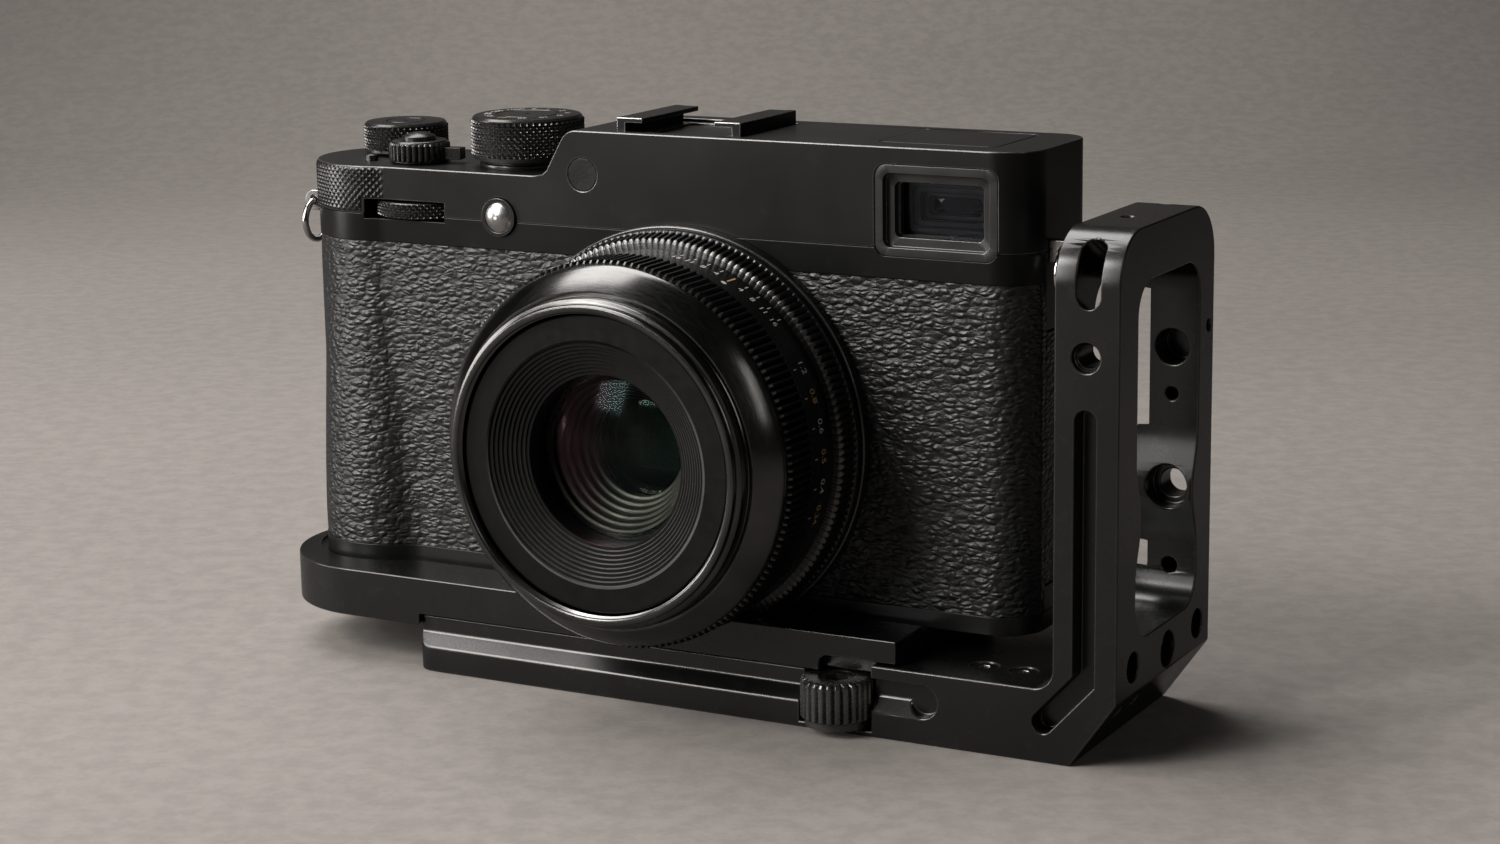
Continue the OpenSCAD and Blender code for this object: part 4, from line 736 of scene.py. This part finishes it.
def glyphs(text, size):  # flat filled outlines of a few characters, in mm
    curve = bpy.data.curves.new("glyph", "FONT")
    curve.body, curve.size, curve.resolution_u = text, size, 3
    curve.align_x, curve.align_y = "CENTER", "CENTER"
    holder = bpy.data.objects.new("glyph", curve)
    bpy.context.scene.collection.objects.link(holder)
    bpy.context.view_layer.update()
    mesh = bpy.data.meshes.new_from_object(holder.evaluated_get(bpy.context.evaluated_depsgraph_get()))
    points = [tuple(v.co) for v in mesh.vertices]
    faces = [tuple(f.vertices) for f in mesh.polygons]
    bpy.data.objects.remove(holder)
    bpy.data.curves.remove(curve)
    bpy.data.meshes.remove(mesh)
    return points, faces


def bar(wide, tall):
    x, y = wide / 2, tall / 2
    return [(-x, -y, 0), (x, -y, 0), (x, y, 0), (-x, y, 0)], [(0, 1, 2, 3)]


def dot(size, parts=12):
    turns = [2 * math.pi * i / parts for i in range(parts)]
    return [(size * math.cos(a), size * math.sin(a), 0) for a in turns], [tuple(range(parts))]


def addMarks(name, marks, put, looks, body):  # marks: points and faces, where they go, which look
    points, faces, picks = [], [], []
    for shape, where, pick in marks:
        start = len(points)
        points += [put(x, y, where) for x, y, _ in shape[0]]
        faces += [tuple(start + i for i in face) for face in shape[1]]
        picks += [pick] * len(shape[1])
    return addPiece(name, points, faces, looks, body, picks)


lensMarks = {
    "radius": 29.09, "indexAngle": 62, "indexBar": (0.28, 2.6), "indexAt": 16.3, "dot": 0.45, "dotAt": 18.6,
    "stops": ("4", "8", "11", "16"), "stopStep": 4.6, "stopBar": (0.16, 1.1), "stopBarAt": 15.3,
    "stopSize": 1.7, "stopAt": 17.1,
    "distances": ("1.2", "0.8", "0.6", "0.5", "0.4", "0.34"), "distanceFrom": 34, "distanceStep": 9,
    "distanceSize": 1.9, "distanceAt": 17.0, "distanceBar": (0.14, 0.8), "distanceBarAt": 19.3,
}


def addLensMarks(d):
    def onScale(x, y, where):
        t = math.radians(where[0]) - x / d["radius"]
        return (lensAxis[0] + d["radius"] * math.cos(t), -where[1] + y, lensAxis[1] + d["radius"] * math.sin(t))
    index = d["indexAngle"]
    marks = [(bar(*d["indexBar"]), (index, d["indexAt"]), 1), (dot(d["dot"]), (index, d["dotAt"]), 0)]
    for i, text in enumerate(d["stops"]):
        for side in (-1, 1):
            angle = index + side * (i + 1) * d["stopStep"]
            marks.append((bar(*d["stopBar"]), (angle, d["stopBarAt"]), 0))
            marks.append((glyphs(text, d["stopSize"]), (angle, d["stopAt"]), 0))
    for i, text in enumerate(d["distances"]):
        angle = index - d["distanceFrom"] - i * d["distanceStep"]
        marks.append((glyphs(text, d["distanceSize"]), (angle, d["distanceAt"]), i % 2))
        marks.append((bar(*d["distanceBar"]), (angle, d["distanceBarAt"]), 0))
    addMarks("scaleMarks", marks, onScale, ["scaleWhite", "scaleOrange"], "carriage")


dialMarks = {
    "centre": (-34, 4), "top": 87.22, "radius": 6.3, "size": 1.55, "from": 90, "step": 31, "dot": 0.4,
    "dotAngle": 112, "tinted": "60",
    "numbers": ("1", "2", "4", "8", "15", "30", "60", "125", "250", "500", "1000"),
}


def addDialMarks(d):
    def onTop(x, y, where):
        t, out = math.radians(where), d["radius"] + y
        return (d["centre"][0] + out * math.cos(t) + x * math.sin(t),
                d["centre"][1] + out * math.sin(t) - x * math.cos(t), d["top"])
    marks = [(glyphs(text, d["size"]), d["from"] - i * d["step"], int(text == d["tinted"]))
             for i, text in enumerate(d["numbers"])]
    marks.append((dot(d["dot"]), d["dotAngle"], 1))
    addMarks("shutterNumbers", marks, onTop, ["scaleWhite", "scaleOrange"], "shutter_dial_body")


addLensMarks(lensMarks)
addDialMarks(dialMarks)
print("numbers placed")

# dials

commandShape = {
    "radius": 8.6, "teeth": 52, "depth": 0.6, "hub": 1.45, "skirt": ((-0.35, 0, 1), (-0.2, 0.15, 1)),
    "knurl": (0.25, 0.25, 20), "cap": ((-0.2, -0.15, 1), (-0.35, 0, 0)), "face": ((1.45, 0),),
}
knurledDials = {  # skirt and cap rows start from the radius, face rows hold a radius and a depth
    "shutterDial": {
        "node": "shutter_dial", "centre": (-34, 4), "radius": 9.1, "low": 79.85, "top": 87.2, "teeth": 56,
        "depth": 0.6, "hub": 2.55, "knurl": (1.35, 0.75, 56),
        "skirt": ((-1.35, 0, 1), (-1.25, 0.35, 1), (-0.45, 0.5, 1), (-0.3, 1.1, 1), (-0.45, 1.2, 0)),
        "cap": ((-0.3, -0.62, 0), (-0.3, -0.42, 1), (-0.62, -0.08, 0), (-0.9, 0, 0)),
        "face": ((5.2, 0), (5.0, 0.12), (4.8, 0.12), (4.65, 0), (0.4, 0), (0.4, 1), (2.55, 1))},
    "exposureDial": {
        "node": "exposure_dial", "centre": (-61.6, 10), "radius": 7, "low": 79.3, "top": 84.3, "teeth": 44,
        "depth": 0.55, "hub": 2.15, "skirt": ((-0.4, 0, 1), (-0.2, 0.2, 1), (-0.2, 0.6, 0)),
        "knurl": (0.75, 0.7, 38),
        "cap": ((-0.25, -0.58, 0), (-0.25, -0.38, 1), (-0.55, -0.06, 0), (-0.8, 0, 0)),
        "face": ((3.4, 0), (3.25, 0.12), (3.1, 0.12), (2.95, 0), (0.35, 0), (0.35, 1), (2.15, 1))},
    "frontCommandDial": {
        **commandShape, "node": "front_dial", "centre": (-50.7, 0.2), "low": 70.9, "top": 73.4},
    "rearCommandDial": {
        **commandShape, "node": "rear_dial", "centre": (-43.5, 9.2), "low": 74.3, "top": 76.8},
}


def addKnurledDial(name, d):
    low, top = d["low"], d["top"]
    rise, drop, steps = d["knurl"]
    rows = [(d["hub"], low, 0)] + offsets(d["radius"], low, d["skirt"])
    # the knurled band takes the lighter knurl metal, a painted highlight
    rows += band(diamonds(d["radius"], d["depth"], d["teeth"]), low + rise, top - drop, steps, 2)
    rows += offsets(d["radius"], top, d["cap"])
    rows += [(radius, top - deep, 0) for radius, deep in d["face"]]
    piece = lathe(name, rows, d["teeth"] * 8, "z", d["centre"], ["dialBlack", "dialEdge", "knurlBlack"],
                  d["node"] + "_body")
    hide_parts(d["node"])


collarGrip = {"centre": (-52.6, 0.6), "radius": 4.95, "low": 79.35, "top": 82.35, "teeth": 30, "depth": 0.3,
              "hub": 4.3}


def addCollarGrip(d):
    grip = ridges(d["radius"], d["depth"], d["teeth"], 0.4)
    low, top = d["low"], d["top"]
    rows = [(d["hub"], low, 0), (d["radius"] - 0.5, low, 0), (lambda t, h: grip(t, h) - 0.15, low + 0.1, 0),
            (grip, low + 0.3, 0), (grip, top - 0.35, 1), (lambda t, h: grip(t, h) - 0.25, top - 0.05, 1),
            (d["radius"] - 0.6, top, 0), (d["hub"], top, 0)]
    lathe("collarGrip", rows, d["teeth"] * 8, "z", d["centre"], ["dialBlack", "dialEdge"],
          "power_collar_body")


lockWheel = {"centre": (31.5, -18.2), "radius": 5.5, "low": 2.4, "top": 8.55, "teeth": 26, "depth": 0.5,
             "socket": 1.9, "socketDeep": 3, "dishR": 2.75, "pole": 0.05, "camRadius": 4.95, "camShift": 0.25,
             "foot": 1.2}


def addLockWheel(d):
    grip = ridges(d["radius"], d["depth"], d["teeth"], 0.45)
    def hexagon(t, h):
        return d["socket"] * math.cos(math.pi / 6) / math.cos((t % (math.pi / 3)) - math.pi / 6)
    low, top = d["low"], d["top"]
    def cam(t, h):  # the smooth disc under the ridges sits off centre
        return d["camShift"] * math.sin(t) + math.sqrt(d["camRadius"] ** 2 - (d["camShift"] * math.cos(t)) ** 2)
    rows = [(d["pole"], d["foot"], 0), (cam, d["foot"], 0), (cam, low, 0),
            (lambda t, h: grip(t, h) - 0.2, low + 0.02, 1), (grip, low + 0.25, 0), (grip, top - 0.6, 1),
            (lambda t, h: grip(t, h) - 0.28, top - 0.2, 1), (d["radius"] - 0.85, top, 0)]
    rows += offsets(d["dishR"], top, ((0, 0, 0), (-0.15, -0.15, 1), (-0.55, -0.2, 0)))
    deep = top - d["socketDeep"]
    rows += [(hexagon, top - 0.25, 1), (hexagon, deep, 0), (d["pole"], deep, 0)]
    piece = lathe("lockWheel", rows, d["teeth"] * 12, "z", d["centre"], ["wheelBlack", "dialEdge"],
                  "lock_wheel_body")
    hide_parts("lock_wheel")


for name, shape in knurledDials.items():
    addKnurledDial(name, shape)
addCollarGrip(collarGrip)
addLockWheel(lockWheel)
print("dials and wheel turned")

# leather, lofted so that the grip swells towards the bottom

shell = {"left": -73.3, "right": 57.5, "front": -7, "back": 17, "endR": 12, "cornerR": 6.5, "filletR": 8,
         "gripX": 13.3}
leather = {"low": 17.05, "high": 66.85, "swellLow": 3.2, "swellHigh": 0.8, "rows": 26, "backY": 12.9,
           "sideY": -1.9, "thick": 0.6, "holeR": 29.4, "holeTo": 24, "endExtra": 0.5, "tuck": 0.12,
           "tuckRate": 8}


def arcPoints(cx, cy, r, a0, a1, n):
    turns = [math.radians(a0 + (a1 - a0) * i / n) for i in range(n + 1)]
    return [(cx + r * math.cos(a), cy + r * math.sin(a)) for a in turns]


def gripOutline(grow, swell, end):  # from the right side round the front to the left end
    c = shell
    rearX, rearY = c["left"] + c["endR"], c["back"] - c["endR"]
    gripX, gripY = c["left"] + c["gripX"], c["front"] - swell + end
    away = math.hypot(gripX - rearX, gripY - rearY)
    side = math.degrees(math.atan2(gripY - rearY, gripX - rearX) - math.acos((c["endR"] - end) / away)) + 360
    turn = -math.degrees(math.asin((c["filletR"] - c["front"] + gripY) / (end + c["filletR"])))
    filletX = gripX + (end + c["filletR"]) * math.cos(math.radians(turn))
    line = [(c["right"] + grow, leather["sideY"])]
    line += arcPoints(c["right"] - c["cornerR"], c["front"] + c["cornerR"], c["cornerR"] + grow, 0, -90, 16)
    start = c["right"] - c["cornerR"]
    line += [(start + (filletX - start) * i / 60, c["front"] - grow) for i in range(1, 60)]
    line += arcPoints(filletX, c["front"] - c["filletR"], c["filletR"] - grow, 90, 180 + turn, 14)
    line += arcPoints(gripX, gripY, end + grow, 360 + turn, side, 26)[1:]
    stop = 180 - math.degrees(math.asin((leather["backY"] - rearY) / (c["endR"] + grow)))
    line += arcPoints(rearX, rearY, c["endR"] + grow, side, stop, 14)[1:]
    return line


def foldedSkin(points, rows, wide, kept):  # two layers of the kept squares, closed along their free edges
    def at(layer, j, i):
        return (layer * (rows + 1) + j) * wide + i
    sides = ((-1, 0, (0, 0), (0, 1)), (1, 0, (1, 1), (1, 0)), (0, -1, (1, 0), (0, 0)), (0, 1, (0, 1), (1, 1)))
    faces = []
    for j, i in kept:
        faces.append((at(0, j, i), at(0, j, i + 1), at(0, j + 1, i + 1), at(0, j + 1, i)))
        faces.append((at(1, j, i), at(1, j + 1, i), at(1, j + 1, i + 1), at(1, j, i + 1)))
        for dj, di, a, b in sides:
            if (j + dj, i + di) not in kept:
                faces.append((at(0, j + a[0], i + a[1]), at(0, j + b[0], i + b[1]),
                              at(1, j + b[0], i + b[1]), at(1, j + a[0], i + a[1])))
    used = sorted({v for face in faces for v in face})
    place = {v: n for n, v in enumerate(used)}
    return [points[v] for v in used], [tuple(place[v] for v in face) for face in faces]


def addLeather(d):
    points, rows = [], d["rows"]
    for layer in (0, 1):
        for j in range(rows + 1):
            share = j / rows
            ease = share * share * (3 - 2 * share)
            swell = d["swellLow"] + (d["swellHigh"] - d["swellLow"]) * ease
            end = shell["endR"] + d["endExtra"] * (1 - ease)
            rim = min(1, d["tuckRate"] * share, d["tuckRate"] * (1 - share))  # the edges are tucked in a little
            grow = -d["tuck"] * (1 - rim) ** 2 if layer == 0 else -d["thick"]
            z = d["low"] + (d["high"] - d["low"]) * share
            points += [(x, y, z) for x, y in gripOutline(grow, swell, end)]
    wide = len(points) // (2 * (rows + 1))
    kept = set()
    for j in range(rows):
        for i in range(wide - 1):
            corners = [points[(j + b) * wide + i + a] for a, b in ((0, 0), (1, 0), (0, 1), (1, 1))]
            x, z = (sum(corner[k] for corner in corners) / 4 for k in (0, 2))
            if math.hypot(x - lensAxis[0], z - lensAxis[1]) > d["holeR"] or x < shell["left"] + d["holeTo"]:
                kept.add((j, i))
    points, faces = foldedSkin(points, rows, wide, kept)
    piece = addPiece("leatherSkin", points, faces, ["leather"], "carriage", sharp=50)
    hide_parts("leather_wrap")


addLeather(leather)
print("leather lofted")

knurlBand = {"edgeX": -54.0, "low": 71.6, "high": 78.75, "slotTop": 73.9, "slotX": -58.8, "pitch": 1.2,
             "height": 0.28, "fine": 8, "backY": 7.0, "base": 0.015, "swell": 0.8, "deep": 0.3, "flatTop": 1.5,
             "fadeRate": 20}


def addKnurlBand(d):  # pressed diamonds on the corner of the top cover
    route = [p for p in gripOutline(0, d["swell"], shell["endR"]) if p[0] < d["edgeX"] and p[1] < d["backY"]]
    reach = [0.0]
    for (x0, y0), (x1, y1) in zip(route, route[1:]):
        reach.append(reach[-1] + math.hypot(x1 - x0, y1 - y0))
    step = d["pitch"] / d["fine"]
    count, rows = int(reach[-1] / step), int((d["high"] - d["low"]) / step)
    path, k = [], 0
    for i in range(count + 1):
        along = reach[-1] * i / count
        while k < len(reach) - 2 and reach[k + 1] < along:
            k += 1
        (x0, y0), (x1, y1), span = route[k], route[k + 1], reach[k + 1] - reach[k]
        share = (along - reach[k]) / span
        outward = ((y1 - y0) / span, -(x1 - x0) / span)
        path.append((x0 + (x1 - x0) * share, y0 + (y1 - y0) * share, *outward, along))
    points, kept = [], set()
    for layer in (0, 1):
        for j in range(rows + 1):
            z = d["low"] + (d["high"] - d["low"]) * j / rows
            for i, (x, y, nx, ny, along) in enumerate(path):
                studs = min(tent((along + z) / d["pitch"]), tent((along - z) / d["pitch"]))
                edge = min(1, d["fadeRate"] * min(i / count, 1 - i / count, j / rows, 1 - j / rows))
                raised = d["base"] + d["height"] * min(1, d["flatTop"] * studs) * edge
                out = raised if layer == 0 else -d["deep"]
                points.append((x - nx * out, y - ny * out, z))
                if layer == 0 and i < count and j < rows and not (z < d["slotTop"] and x > d["slotX"]):
                    kept.add((j, i))
    points, faces = foldedSkin(points, rows, count + 1, kept)
    addPiece("knurlBand", points, faces, ["bandKnurl"], "carriage", sharp=30)


addKnurlBand(knurlBand)
print("knurl band pressed")

finderBox = {
    "low": (35.4, 72.8), "high": (49.7, 81.2), "front": -1.95, "ledges": ((1.2, 1.0), (0.9, 1.3), (0.8, 1.7)),
    "corner": 0.7, "lip": 0.12, "lipRise": 0.03, "slope": 0.1, "back": 0.25, "paneCorner": 0.3,
    "pane": ((0.02, 0.15), (0.3, 0.3), (1.6, 0.36), (3.2, 0.38)), "eyeAt": (45.3, 78.2), "eyeR": 1.5,
    "eyeRings": 8, "eyeFoot": 0.05, "eyeEdge": 0.12, "eyeDome": 0.42, "eyeTop": 0.55, "pole": 0.03,
    "eyeParts": 48,
}
paneInset = sum(ledge for ledge, _ in finderBox["ledges"])
paneLevel = finderBox["front"] + sum(deep for _, deep in finderBox["ledges"])


def finderLoop(d, inset, corner, y):  # points of a rounded rectangle in the XZ plane
    low, high = [v + inset + corner for v in d["low"]], [v - inset - corner for v in d["high"]]
    corners = ((high[0], high[1], 0), (low[0], high[1], 90), (low[0], low[1], 180), (high[0], low[1], 270))
    return [(x, y, z) for a, b, turn in corners for x, z in arcPoints(a, b, corner, turn, turn + 90, 5)]


def addFinderTrap(d):  # the stepped frame behind the finder window
    loops, inset, y = [], 0.0, d["front"]
    for ledge, deep in d["ledges"]:
        steps = ((0.0, y), (d["lip"], y - d["lipRise"]), (ledge - 0.1, y), (ledge, y + d["slope"]),
                 (ledge, y + deep))
        loops += [finderLoop(d, inset + extra, d["corner"], level) for extra, level in steps]
        inset, y = inset + ledge, y + deep
    inner, wide = len(loops), len(loops[0])
    loops.append(finderLoop(d, 0.0, d["corner"], y + d["back"]))
    faces, picks = [], []
    for j in range(len(loops)):
        k = (j + 1) % len(loops)
        for i in range(wide):
            n = (i + 1) % wide
            faces.append((j * wide + i, j * wide + n, k * wide + n, k * wide + i))
            # the ledge lips take the lighter finish: painted highlight
            picks.append(1 if j % 5 == 1 and j < inner else 0)
    piece = addPiece("finderTrap", [p for loop in loops for p in loop], faces, ["finderGrey", "finderLip"],
                     "carriage", picks)
    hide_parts("finder_prism")


def addFinderPane(d):  # the domed inner glass
    loops = [finderLoop(d, paneInset + shrink, d["paneCorner"], paneLevel - rise) for shrink, rise in d["pane"]]
    wide, last = len(loops[0]), len(loops) - 1
    faces = [(j * wide + i, j * wide + (i + 1) % wide, (j + 1) * wide + (i + 1) % wide, (j + 1) * wide + i)
             for j in range(last) for i in range(wide)]
    faces += [tuple(range(last * wide, (last + 1) * wide)), tuple(range(wide))[::-1]]
    addPiece("finderInnerPane", [p for loop in loops for p in loop], faces, ["finderPane"],
             "carriage")


def addFinderEye(d):  # the small lens in front of it
    rows = [(d["pole"], d["eyeTop"] - paneLevel, 0)]
    for i in range(1, d["eyeRings"] + 1):
        a = math.pi / 2 * i / d["eyeRings"]
        rows.append((d["eyeR"] * math.sin(a), d["eyeEdge"] - paneLevel + d["eyeDome"] * math.cos(a), 0))
    # the rim takes the lighter lip finish: painted highlight
    rows += [(d["eyeR"], d["eyeFoot"] - paneLevel, 1), (d["pole"], d["eyeFoot"] - paneLevel, 0)]
    lathe("finderEye", rows, d["eyeParts"], front, d["eyeAt"], ["finderPane", "finderLip"],
          "carriage")


addFinderTrap(finderBox)
addFinderPane(finderBox)
addFinderEye(finderBox)
print("finder lined")
